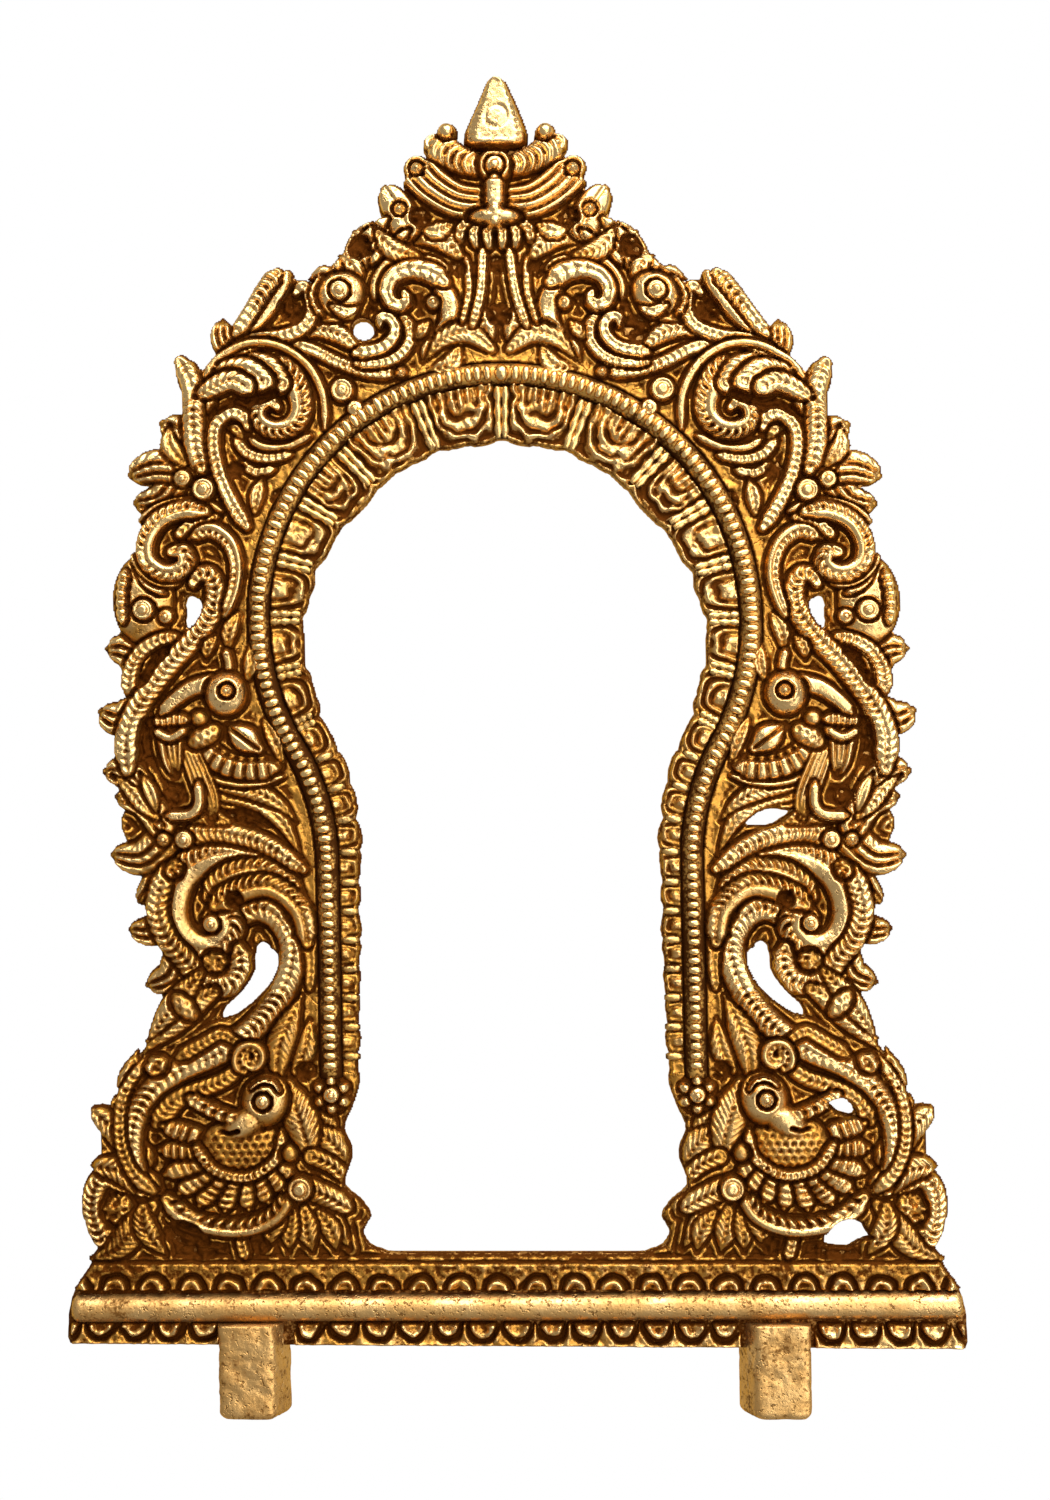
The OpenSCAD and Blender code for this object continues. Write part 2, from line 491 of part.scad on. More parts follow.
// Five round petals about a raised middle
module rosette(s) color(pale) {
  p = at([leg_x, rosette_z], s);
  translate([p[0], 0, p[1]]) rotate([90, 0, 0]) {
    linear_extrude(2) polygon([for (a = [0 : 9 : 351]) let(r = 2 + 0.8 * abs(sin(2.5 * a)))
      r * [sin(a), cos(a)]]);
    translate([0, 0, 1]) cylinder(r = 1.25, h = 1.8);
  }
}
module left_rosette() rosette(-1);
module right_rosette() rosette(1);
module rosette_foot() dome([leg_x, rosette_z], 3, 3, 1);

module peacock(s) color(brass) relief(s, head_h + 0.5) {
  peacock_shape();
  moulding_foot();
  rosette_foot();
}
module left_peacock() peacock(-1);
module right_peacock() peacock(1);

module peacock_tail(s) color(brass) relief(s, leaf_h + 0.4) {
  peacock_tail_shape();
  peacock_shape();
  lower_stem_shape();
}
module left_peacock_tail() peacock_tail(-1);
module right_peacock_tail() peacock_tail(1);

module lower_stem(s) color(pale) relief(s, scroll_h) {
  lower_stem_shape();
  peacock_shape();
  lower_scroll_shape();
  moulding_foot();
}
module left_lower_stem() lower_stem(-1);
module right_lower_stem() lower_stem(1);

module lower_scroll(s) color(brass) relief(s, scroll_h + 0.3) {
  lower_scroll_shape();
  peacock_shape();
  moulding_foot();
}
module left_lower_scroll() lower_scroll(-1);
module right_lower_scroll() lower_scroll(1);

module parrot(s) color(brass) relief(s, head_h + 0.4) {
  parrot_shape();
  lower_scroll_shape();
  moulding_foot();
}
module left_parrot() parrot(-1);
module right_parrot() parrot(1);

module middle_stem(s) color(pale) relief(s, scroll_h) {
  middle_stem_shape();
  parrot_shape();
  middle_scroll_shape();
  moulding_foot();
}
module left_middle_stem() middle_stem(-1);
module right_middle_stem() middle_stem(1);

module middle_scroll(s) color(brass) relief(s, scroll_h + 0.6) {
  middle_scroll_shape();
  moulding_foot();
}
module left_middle_scroll() middle_scroll(-1);
module right_middle_scroll() middle_scroll(1);

module makara_bud(s) color(brass) relief(s, head_h) {
  makara_bud_shape();
  middle_scroll_shape();
  middle_stem_shape();
}
module left_makara_bud() makara_bud(-1);
module right_makara_bud() makara_bud(1);

module upper_scroll(s) color(brass) relief(s, scroll_h + 0.4) {
  upper_scroll_shape();
  middle_scroll_shape();
  moulding_foot();
}
module left_upper_scroll() upper_scroll(-1);
module right_upper_scroll() upper_scroll(1);

module upper_stem(s) color(pale) relief(s, scroll_h) {
  upper_stem_shape();
  upper_scroll_shape();
  middle_scroll_shape();
}
module left_upper_stem() upper_stem(-1);
module right_upper_stem() upper_stem(1);

module crown_scroll(s) color(brass) relief(s, scroll_h + 0.6) {
  crown_scroll_shape();
  upper_scroll_shape();
  upper_stem_shape();
  moulding_foot();
  crown_leaves_shape();
  mask_ear_shape();
}
module left_crown_scroll() crown_scroll(-1);
module right_crown_scroll() crown_scroll(1);

module edge_leaves(s) color(brass) relief(s, leaf_h) {
  edge_leaves_shape();
  peacock_tail_shape();
  lower_stem_shape();
  lower_scroll_shape();
  parrot_shape();
  middle_stem_shape();
  middle_scroll_shape();
  makara_bud_shape();
  upper_scroll_shape();
  upper_stem_shape();
}
module left_edge_leaves() edge_leaves(-1);
module right_edge_leaves() edge_leaves(1);

module mask_ear(s) color(brass) relief(s, scroll_h + 0.2) {
  mask_ear_shape();
  mask_shape();
}
module left_mask_ear() mask_ear(-1);
module right_mask_ear() mask_ear(1);

module mask() color(pale) relief(1, head_h + 0.6) mask_shape();
module finial() color(pale) relief(1, head_h - 0.3) {
  finial_shape();
  mask_shape();
}
module crown_leaves() color(brass) relief(1, leaf_h + 0.4) {
  crown_leaves_shape();
  mask_shape();
}

back_plate();
left_tenon();
right_tenon();
base_rail();
lower_scallops();
upper_scallops();
bead_moulding();
bead_row();
lotus_petals();
petal_bars();
left_rosette();
right_rosette();
left_peacock();
right_peacock();
left_peacock_tail();
right_peacock_tail();
left_lower_stem();
right_lower_stem();
left_lower_scroll();
right_lower_scroll();
left_parrot();
right_parrot();
left_middle_stem();
right_middle_stem();
left_middle_scroll();
right_middle_scroll();
left_makara_bud();
right_makara_bud();
left_upper_scroll();
right_upper_scroll();
left_upper_stem();
right_upper_stem();
left_crown_scroll();
right_crown_scroll();
left_edge_leaves();
right_edge_leaves();
left_mask_ear();
right_mask_ear();
mask();
finial();
crown_leaves();
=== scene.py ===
"""Looks of the brass prabhavali: a cast relief in polished and darkened brass on a white sheet.

Plan sizes are in mm on the upright arch, x from its middle and z from the tenon shoulder; at() leans it.
Heights stand on the plane y = 0 and grow towards the front.
"""
import math

import bpy
import numpy as np
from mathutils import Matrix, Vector


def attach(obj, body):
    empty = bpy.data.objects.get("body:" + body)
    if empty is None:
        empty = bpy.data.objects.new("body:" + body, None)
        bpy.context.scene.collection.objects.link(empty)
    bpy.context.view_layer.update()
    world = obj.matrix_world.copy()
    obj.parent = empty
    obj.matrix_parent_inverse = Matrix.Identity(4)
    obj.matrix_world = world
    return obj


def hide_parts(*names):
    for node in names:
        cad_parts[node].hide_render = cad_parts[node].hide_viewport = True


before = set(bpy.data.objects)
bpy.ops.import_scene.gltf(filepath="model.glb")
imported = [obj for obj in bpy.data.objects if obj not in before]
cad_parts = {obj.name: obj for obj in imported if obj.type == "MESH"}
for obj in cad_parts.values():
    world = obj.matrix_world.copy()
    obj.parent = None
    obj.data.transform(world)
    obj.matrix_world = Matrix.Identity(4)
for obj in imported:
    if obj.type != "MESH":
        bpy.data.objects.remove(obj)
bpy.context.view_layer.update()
rng = np.random.default_rng(7149)

# Sizes in mm: plate, foot and tenons
MM = 0.001
FULL = 214.6                        # shoulder to finial tip
LEAN = 3.3                          # how far the tip leans to the left
FOOT_SAG, FOOT_TILT = 1.0, 0.006    # how far the foot hangs, and how much more to the right
PLATE_T = 3.5
EDGE_ROUND = 0.5                    # how far the plate draws in at its back edge
WALL_MIDDLE, WALL_SWELL = 0.45, 0.4
PLATE_STEP, PLATE_EDGE = 3, 0.42    # grid cells to one of the plate's, level of the blur at its outline
FOOT_X, RAIL_Z, RAIL_D, RAIL_END = 76.3, 3.7, 4.7, 0.8
TENON_X, TENON_W, TENON_L, TENON_T = 44.2, 12.7, 12.5, 7.0
TENON_SHIFT = {-1: 0.6, 1: 0.5}     # each tenon stands a little to the left

# Keyhole: arc of beads, reverse arc, straight leg, and the opening's circle inside
BEAD_R, LEG_X, LEAD_R, LEG_Z = 42.0, 31.0, 38.0, 82.0
BEAD_Z = LEG_Z + math.sqrt((BEAD_R + LEAD_R) ** 2 - (LEG_X + LEAD_R) ** 2)
LAP = math.atan2(LEG_Z - BEAD_Z, LEG_X + LEAD_R)    # angle where the two arcs meet
ROSETTE_Z, PETAL_COUNT = 42.0, 6
OPENING_R, OPENING_DROP = 34.8, 4.0
MOULDING_W, MOULDING_H = 3.9, 1.9
MAIN_L = BEAD_R * (math.pi / 2 - LAP)
LEAD_L = LEAD_R * -LAP
ROW_L = MAIN_L + LEAD_L + LEG_Z - ROSETTE_Z - 3.5
BEAD_PITCH, BEAD_LEN = 1.62, 2.5
BARS = np.array([0, 15.5, 32, 44, 55, 65.5, 75.5, 85.5])
LEG_BARS = np.arange(92, ROW_L - 2, 5.0)
BAR_APART = 0.7                     # half the distance between the two of a pair
STOPS = np.concatenate([BARS, LEG_BARS, [ROW_L]])

# Relief grid, and the marks that a shape leaves round itself on it
GRID = 0.22
XS = np.arange(-360, 361) * GRID
ZS = np.arange(0, 980) * GRID
PLAN_X, PLAN_Z = np.meshgrid(XS, ZS)
LOW = -0.4                          # height where nothing has been laid
MOAT = 0.24                         # width of the dark line left round each shape
IN_MOAT, OUTSIDE, COVERED = -0.5, -1.0, -0.1
THIN = 0.05                         # least height of a shape
UNDER = 0.45                        # share of what lies below that a shape or its moat keeps
SHARPEN = 0.6
ROOT = 0.7                          # how deep an ornament goes into the plate
FOOT_TOP = 9.0                      # the ground between the ornaments is filled above this
NEIGHBOURS = ((0, 1), (1, 0), (0, -1), (-1, 0))
KEYHOLE_BOX = np.s_[180:770, 150:571]    # cells round the moulding
FIELD = 200.0                       # where the grain of the whole plan starts on its lattice
FLIP = np.array([-1.0, 1.0])        # right to left
# How much wider each kind of strip is than it is drawn
FAT = {"stem": 1.42, "leaf": 1.5, "lobe": 1.32, "scroll": 1.62}

# Painted light and shade: darker towards the foot, lighter towards the crown and per mm to the right, as the
# light falls; less behind
PAINTED_LIGHT_Z, PAINTED_LIGHT, PAINTED_LIGHT_SIDE, PAINTED_LIGHT_BACK = (5, 60, 120, 200), (-0.30, -0.10, 0.08, 0.25), 0.0022, 0.35
BACK_TONE = {"crevice": 0.05, "raised": 0.15}
# Painted shade: the recessed lotus ledge and the two scallop friezes at the foot are darkened as a whole
SHADED_PIECES = {"lotus_petals": 0.04, "upper_scallops": 0.15, "lower_scallops": 0.12}


# Plan curves

def curve(points, n=16):
    """Smooth curve through the points: between two of them a cubic whose slopes follow the neighbours."""
    p = np.asarray(points, float)
    a, b = np.vstack([p[:1], p[:-2]]), p[:-1]
    c, d = p[1:], np.vstack([p[2:], p[-1:]])
    t = (np.arange(n) / n)[None, :, None]
    a, b, c, d = (q[:, None, :] for q in (a, b, c, d))
    q = 0.5 * (2 * b + (c - a) * t + (2 * a - 5 * b + 4 * c - d) * t ** 2 + (3 * b - a - 3 * c + d) * t ** 3)
    return np.vstack([q.reshape(-1, 2), p[-1:]])


def volute(c, r0, r1, a0, a1, n=160):
    """Spiral whose radius shrinks by an even share from r0 to r1 while its angle goes from a0 to a1 degrees."""
    t = np.linspace(0, 1, n)
    r = r0 * (r1 / r0) ** t
    a = np.radians(a0 + (a1 - a0) * t)
    return np.stack([c[0] + r * np.cos(a), c[1] + r * np.sin(a)], 1)


def bead_path(u):
    """Place and outward direction on the bead path, u mm from its top: arc, reverse arc, straight leg."""
    u = np.asarray(u, float)
    a = math.pi / 2 - u / BEAD_R
    b = math.pi + LAP + (u - MAIN_L) / LEAD_R

    def along(arc, lead, leg):
        return np.where(u < MAIN_L, arc, np.where(u < MAIN_L + LEAD_L, lead, leg))

    x = along(BEAD_R * np.cos(a), LEG_X + LEAD_R * (1 + np.cos(b)), LEG_X)
    z = along(BEAD_Z + BEAD_R * np.sin(a), LEG_Z + LEAD_R * np.sin(b), LEG_Z - u + MAIN_L + LEAD_L)
    out_x, out_z = along(np.cos(a), -np.cos(b), 1.0), along(np.sin(a), -np.sin(b), 0.0)
    return np.stack([x, z], -1), np.stack([out_x, out_z], -1)


def ledge(u):
    """Width from the bead path to the opening: both are circles, the opening's centre lies lower."""
    a = np.maximum(math.pi / 2 - np.asarray(u, float) / BEAD_R, LAP)
    return BEAD_R + OPENING_DROP * np.sin(a) - np.sqrt(OPENING_R ** 2 - (OPENING_DROP * np.cos(a)) ** 2)


def inside(u, d):
    """Point d mm inside the bead path, at right angles to it."""
    p, n = bead_path(u)
    return p - n * np.asarray(d)[..., None]


# Noise and the hand of the maker

def grain(x, z, size, seed):
    """Smooth random field: values on a lattice of that cell size, blended with eased weights. Each use has a
    seed of its own."""
    side = 256
    lattice = np.random.default_rng(seed).random((side, side))
    u, v = np.asarray(x) / size, np.asarray(z) / size
    i, j = np.floor(u).astype(int), np.floor(v).astype(int)
    fu, fv = u - i, v - j
    fu, fv = fu * fu * (3 - 2 * fu), fv * fv * (3 - 2 * fv)

    def corner(di, dj):
        return lattice[(i + di) % side, (j + dj) % side]

    low = corner(0, 0) * (1 - fu) + corner(1, 0) * fu
    return low * (1 - fv) + (corner(0, 1) * (1 - fu) + corner(1, 1) * fu) * fv - 0.5


def skin(x, z, size, seed):
    """Grain over the whole plan, left and right different."""
    return grain(x + FIELD, z, size, seed)


def at(x, z):
    """Lean and a small uneven drift of the hand-built wax, so that the halves aren't exact mirrors. The outer
    leaves above the foot are spread outwards, more on the left."""
    fade = np.clip((z - 14) / 25, 0, 1)
    spread_out = np.clip((np.abs(x) - 48) / 14, 0, 1) * np.interp(z, [13, 22, 44, 62], [0, 1, 1, 0])
    x = x + np.where(x < 0, -2.0, 1.5) * spread_out
    bow = np.interp(z, [25, 50, 130, 150, 165, 188, 198, 210], [0, 0.3, 0.3, 0, 0, 1.1, 0.9, 0.2])
    px = x - LEAN * z / FULL - bow
    sag = (FOOT_SAG + FOOT_TILT * px) * np.clip((5 - z) / 4, 0, 1)
    drift_x, drift_z = (0.9 * fade * grain(px + 300, z, size, seed) for size, seed in ((31.0, 11), (27.0, 12)))
    return px + drift_x, z + drift_z - sag


# Shapes of the relief

def stamped(here, near, body):
    """Field of a shape: height where it lies, the mark of its moat close round it, of the outside beyond."""
    return np.where(here, body, np.where(near, IN_MOAT, OUTSIDE))


def around(c, reach_out, field, soft=False):
    """Shape: the corners of its box in the plan, its field, and whether it runs softly into what is below."""
    return np.array(c) - reach_out, np.array(c) + reach_out, field, soft


def dip(off, width):
    """Bell curve of an offset, for lines sunk into a shape."""
    return np.exp(-(off / width) ** 2)


def reach(x, z, path):
    """Nearest point of a path to each place: its index, the distance, and the side it lies on."""
    at_once = 4_000_000
    index = np.empty(x.size, int)
    for part in np.array_split(np.arange(x.size), x.size * len(path) // at_once + 1):
        d2 = (x.ravel()[part, None] - path[None, :, 0]) ** 2 + (z.ravel()[part, None] - path[None, :, 1]) ** 2
        index[part] = d2.argmin(1)
    index = index.reshape(x.shape)
    dx, dz = x - path[index, 0], z - path[index, 1]
    tan = np.gradient(path, axis=0)[index]
    return index, np.hypot(dx, dz), np.sign(tan[..., 0] * dz - tan[..., 1] * dx)


def share(kind, t):
    """Share of the full width along a strip: a stem keeps it, a leaf comes to a point, a lobe to a blunt one,
    a feather ends round."""
    if kind == "leaf":
        return np.maximum(0.1, np.sin(np.pi * (0.14 + 0.86 * t)))
    if kind == "lobe":
        return 0.2 + 0.8 * np.sqrt(np.maximum(0, 1 - np.abs(1.25 * t - 0.25) ** 2.6))
    if kind == "feather":
        return np.sqrt(np.maximum(0.1, 1 - t ** 4))
    return np.clip(np.minimum(0.6 + t * 6, 0.6 + (1 - t) * 6), 0, 1)


def strip(path, w, h, kind="stem", rib=0.2, pitch=1.3, edge=0.0, outer=1, groove=0.0, slant=0.4, cut=0.0,
          lines=()):
    """Raised strip: a crowned section carried along a path. Ribs cross it every pitch, lagging by slant, as
    chevrons on leaves and crescents elsewhere; edge keeps them beyond that share of the section on the outer
    side, behind a line. groove sinks a line along the middle, lines sinks more of them at those shares of the
    half width, and cut parts the strip by narrow lines across."""
    s = np.concatenate([[0], np.cumsum(np.hypot(*np.diff(path, axis=0).T))])
    t = s / s[-1]
    w0, w1 = (w, w) if np.isscalar(w) else w
    half = 0.5 * (w0 + (w1 - w0) * t) * share(kind, t)
    top = h * (0.55 + 0.45 * share(kind, t))
    fine = 0.3                      # width of a sunk line

    def field(x, z):
        i, d, side = reach(x, z, path)
        r = d / half[i]
        body = top[i] * (0.3 + 0.7 * np.sqrt(np.clip(1 - np.clip(r, 0, 1) ** 3, 0, 1)))
        lag = slant * d * (1.0 if kind in ("leaf", "lobe") else 1.6 * r)
        wave = (0.5 - 0.5 * np.cos(2 * np.pi * (s[i] + lag) / pitch)) ** 4
        wave = wave * np.clip(0.75 + 1.3 * grain(x, z, 3.6, 55), 0, 1.1)
        where = np.clip((r * side * outer - edge) * 5, 0, 1) if edge else 1.0
        body = body - 1.25 * rib * top[i] * wave * where * np.clip((1 - r) * 6, 0, 1)
        if edge:
            body = body - 0.5 * dip((r * side * outer - edge) * half[i], fine)
        if groove:
            body = body - groove * dip(d, 0.32)
        for line in lines:
            body = body - 1.2 * dip((r * side - line) * half[i], fine)
        if cut:
            body = body - 0.9 * dip(((s[i] / cut) % 1 - 0.5) * cut, fine)
        return stamped(r < 1, d < half[i] + MOAT, np.maximum(body, THIN))

    m = half.max() + MOAT + 0.3
    return path.min(0) - m, path.max(0) + m, field, False


def scales(points, centre, n, w, h, length=1.0, pitch=0.9):
    """Row of small feathers along a curve, each pointing away from a centre; length is half of its own."""
    q = curve(points, 32)
    q = q[np.linspace(0, len(q) - 1, n).astype(int)]
    way = (q - centre) / np.hypot(*(q - centre).T)[:, None]
    return [strip(curve([p - length * v, p + length * v], 24), w, h, "feather", 0.3, pitch, slant=0)
            for p, v in zip(q, way)]


def fat(w, kind):
    """Drawn width or pair of widths, swollen as that kind of wax strip is when it is pressed on."""
    return w * FAT[kind] if np.isscalar(w) else (w[0] * FAT[kind], w[1] * FAT[kind])


def stem(points, w, h=2.6, rib=0.3, pitch=1.35):
    """Strip of even width with a groove along it, or a smooth one where rib is 0."""
    return strip(curve(points), fat(w, "stem"), h, "stem", rib, pitch, groove=0.3 if rib else 0.0)


def leaf(points, w, h=2.0, rib=0.24, pitch=1.2, groove=0.4):
    """Strip that swells and comes to a point, with a midrib."""
    return strip(curve(points, 24), fat(w, "leaf"), h, "leaf", rib, pitch, groove=groove, slant=1.1)


def lobe(points, w, h=2.2, rib=0.26, pitch=1.25, lines=()):
    """Strip that starts wide and ends blunt, with a midrib or with lines along it."""
    return strip(curve(points, 24), fat(w, "lobe"), h, "lobe", rib, pitch, groove=0 if lines else 0.45,
                 slant=0.9, lines=lines)


def scroll(path, w, h=3.0, rib=0.42, pitch=1.25, outer=1):
    """Strip with ribs on its outer half only."""
    return strip(path, fat(w, "scroll"), h, "stem", rib, pitch, edge=0.04, outer=outer)


def band(points, w, h, cut, lines=()):
    """Row of feathers as one flat strip, parted by narrow lines across."""
    return strip(curve(points, 24), w, h, "stem", 0, 1, cut=cut, lines=lines)


def striped(points, w, h, lines=(), kind="stem"):
    """Smooth strip with lines sunk along it."""
    return strip(curve(points), w, h, kind, 0, 1, lines=lines)


def dome(c, rx, rz, h, turn=0.0, dots=0.0, soft=False):
    """Oval dome, height by the root of what is left of the unit circle; dots punches rows of small scales.
    A soft one runs into what lies under it, without a moat."""
    ca, sa = math.cos(math.radians(turn)), math.sin(math.radians(turn))
    row_h, dot_w = 1.25, 1.4

    def field(x, z):
        a = ((x - c[0]) * ca + (z - c[1]) * sa) / rx
        b = ((z - c[1]) * ca - (x - c[0]) * sa) / rz
        q = np.hypot(a, b)
        body = h * (0.15 + 0.85 * np.sqrt(np.clip(1 - q ** 2.2, 0, 1)))
        if dots:
            row = np.floor(b * rz / row_h)
            u = (a * rx / dot_w + 0.5 * (row % 2)) % 1 - 0.5
            v = (b * rz / row_h) % 1
            ring = np.clip(1.6 * np.abs(np.hypot(u * 1.6, v) - 0.75), 0, 1)
            body = body - dots * ring * np.clip((1 - q) * 4, 0, 1)
        return stamped(q < 1, q < 1 + MOAT / min(rx, rz), np.maximum(body, THIN))

    return around(c, max(rx, rz) + 2 * MOAT + 0.3, field, soft)


def eye(c, r, h=3.0):
    """Ring eye: a rim and a pupil with a groove between, by distance from the middle."""
    def field(x, z):
        d = np.hypot(x - c[0], z - c[1])
        q = d / r
        body = h * np.sqrt(np.clip(1 - q ** 6, 0, 1)) - 0.7 * dip(d - 0.55 * r, 0.2) - 0.25 * q ** 2
        return stamped(q < 1, d < r + 0.25, body)

    return around(c, r + 0.6, field)


def berry(c, r, h=2.2):
    """Pitted disc: a low dome with a rough grain."""
    def field(x, z):
        q = np.hypot(x - c[0], z - c[1]) / r
        body = h * np.sqrt(np.clip(1 - q ** 4, 0, 1)) * 0.8 + 1.5 * grain(x, z, 0.6, 5)
        return stamped(q < 1, q < 1 + MOAT / r, np.maximum(body, 0.2))

    return around(c, r + MOAT + 0.3, field)


def edge_leaf(a, b, w, bend):
    """Blunt leaf on the outline, from a to its tip b, bowed sideways by a share of its length."""
    (ax, az), (bx, bz) = a, b
    middle = ((ax + bx) / 2 + bend * (bz - az), (az + bz) / 2 - bend * (bx - ax))
    return lobe([a, middle, b], w, 2.4, 0.1, 1.5, (-0.4, 0.2))


def pit(c, r):
    """Round place to be sunk or opened."""
    return dome(c, r, r, 1)


def slit(points, w):
    """Long place to be sunk or opened."""
    return stem(points, w, 1, 0)


# Ornament of the right half, node by node; the left half is its mirror

peacock = [
    leaf([(35.6, 24.6), (31.7, 21), (28.2, 16)], 2.8, 1.9),
    leaf([(33.5, 22), (31.3, 19), (30.6, 15.4)], 2.4, 1.8),
    leaf([(36, 22.6), (35.5, 19), (34.6, 15.4)], 2.8, 2.0),
    leaf([(37.9, 22.4), (38.5, 19), (38.6, 15.4)], 2.4, 1.8),
    leaf([(39.4, 23), (41.3, 20), (42.4, 16)], 2.8, 2.0),
    stem([(45.9, 20), (46.7, 17.4), (46, 14.6)], 1.5, 1.9, 0.24, 1.1),
    scroll(curve([(38.6, 25.4), (40.9, 21.8), (45.3, 19.8), (50.3, 19.8), (54.7, 21.4), (57.8, 24.6)]),
           2.1, 2.5, 0.6, 1.8),
    leaf([(34.4, 41), (32.2, 37), (29.9, 33)], 2.8, 2.0),
    leaf([(34, 36), (30.9, 33.8), (28.5, 30.2)], 3.0, 2.0),
    leaf([(37.1, 46), (35.2, 50), (34.5, 55)], 2.6, 2.0),
    leaf([(40.1, 45.4), (39.4, 51), (35.9, 58.8)], 3.4, 2.4),
    *scales([(39.7, 29.6), (41.6, 27), (44.6, 25.4), (48.4, 24.9), (52.2, 25.7), (55, 28.2), (56.3, 32),
             (56, 36.4)], (47.1, 33.4), 10, 3.5, 2.8, 2.3, 1.25),
    dome((46.3, 33.6), 6.6, 5.2, 2.9, 0, 0.6),
    stem([(39.4, 36), (40.3, 31.6), (45.2, 28.5), (50.5, 29.6), (53.5, 34)], 1.4, 3.3, 0.25, 1.0),
    leaf([(38.3, 43.5), (36, 37), (34.5, 30)], 4.2, 2.9),
    dome((38.3, 32.2), 1.6, 1.8, 2.4),
    lobe([(34.8, 26), (31.4, 24.6), (27.9, 22.4)], 3.0, 2.2),
    lobe([(34.5, 31.6), (31.1, 30), (29, 27.4)], 2.4, 2.0),
    eye((36.6, 26.2), 2.3, 3.0),
    scroll(volute((44.5, 48.6), 2.5, 0.9, -60, 400), 1.7, 2.7),
    stem([(46.6, 38.2), (50, 39.4), (54.1, 42)], 1.8, 3.2, 0.3, 1.7),
    dome((42.2, 41.2), 4.2, 4.7, 3.9, 20),
    dome((45.8, 37.4), 4.4, 2.7, 3.7, -32, soft=True),
    stem([(39.5, 42.8), (40.7, 44.5), (42.9, 44.7), (44.7, 43.4)], 0.5, 4.2, 0),
    eye((42.5, 41.3), 1.5, 4.5),
]
lower_stem = [
    stem([(61.4, 26), (62.7, 32.5), (62.3, 38), (59.7, 43), (55.7, 46.6), (49.8, 49.6), (44.8, 53),
          (40.9, 57), (38.3, 61.5), (37, 66), (37.7, 70), (40.1, 73.2), (43.1, 74), (46.1, 72.2)],
         (2.4, 3.8), 3.0, 0.26),
    stem([(61.1, 48), (64.1, 42), (64.7, 35), (62.9, 29.4), (59.8, 26)], (1.4, 2.0), 2.3, 0.24, 1.2),
    stem([(46.7, 46.6), (49.7, 44.6), (53.7, 43), (56.6, 41.2), (59, 37.6)], (2.0, 2.6), 2.2, 0.22, 1.1),
    stem([(46.4, 51), (49.4, 52.6), (51.8, 51.4), (55.8, 48.8)], (1.4, 2.0), 1.9, 0.2, 1.1),
    berry((59.1, 47.4), 2.0, 2.6),
    stem([(34.5, 60), (34.2, 65), (35.1, 70.6), (37.6, 74.4)], (1.4, 2.4), 1.9, 0.22, 1.2),
]
peacock_tail = [
    stem([(59.4, 26), (63.8, 27.2), (67.4, 28.2), (69.4, 25.8), (69.7, 22), (68.9, 17.6), (65.3, 18.4)],
         2.6, 2.5, 0.26, 1.2),
    berry((65.4, 22.6), 3.0, 1.8),
    lobe([(62.9, 35), (64.4, 39), (65.6, 41.6)], 2.6, 2.1),
    lobe([(61.9, 31.6), (65.2, 36), (69.2, 39.6)], 3.8, 2.3),
    lobe([(61, 27), (65.5, 29.6), (69.5, 30)], 3.6, 2.5),
    leaf([(60, 23.4), (63.3, 19.6), (67.2, 16), (72.2, 14)], 3.0, 2.0),
    leaf([(61.4, 23), (61.5, 19), (59.2, 14.8)], 2.8, 2.0),
    leaf([(61.6, 40.6), (63, 44.4), (62.5, 49.6)], 3.0, 2.2),
]
lower_scroll = [
    scroll(curve([(37.8, 79), (43.3, 82.8), (48.3, 83.4), (53.3, 81.5), (56.2, 78), (57.1, 73), (55.5, 69),
                  (52, 67.2), (48.9, 68.6), (47.5, 71.2), (49.3, 73.2), (51.1, 72)]), (4.0, 3.0), 3.2),
    eye((50.7, 71.4), 1.6, 3.6),
    scroll(curve([(36, 76.6), (40.2, 80.2), (45.2, 80.6), (48.6, 79), (50.8, 76)]), (2.2, 3.0), 2.6),
    scroll(curve([(34.7, 68), (35.7, 73.6), (40.2, 77.6), (45.2, 77.2), (50, 74.6)]), (2.4, 3.0), 2.5),
    stem([(58.2, 80.4), (59.7, 74), (58.3, 69), (55.5, 65.6), (53.6, 63), (50.9, 61.2), (47.9, 61.2),
          (46, 64), (46.4, 67.2)], 3.0, 2.8, 0.24),
    berry((50.4, 65), 2.3, 2.6),
    berry((56.6, 80.6), 1.9, 2.6),
    leaf([(50.5, 60), (55.3, 57), (61.2, 49.6)], 3.6, 2.4),
    leaf([(53, 63), (56.7, 58.4), (61, 51.4)], 2.9, 2.4),
    dome((55.5, 57.4), 1.8, 3.2, 2.4, -40, 0.4),
    stem([(35, 80.6), (40.3, 84.4), (45.3, 86.2), (50.3, 87), (54.3, 86.2)], (2.0, 3.2), 2.5, 0.24, 1.2),
    eye((54.7, 85.6), 1.7, 3.2),
    eye((58.2, 85.6), 1.3, 2.8),
    leaf([(47.4, 88.6), (51.4, 89.6), (56, 88.6)], 2.2, 2.0),
]
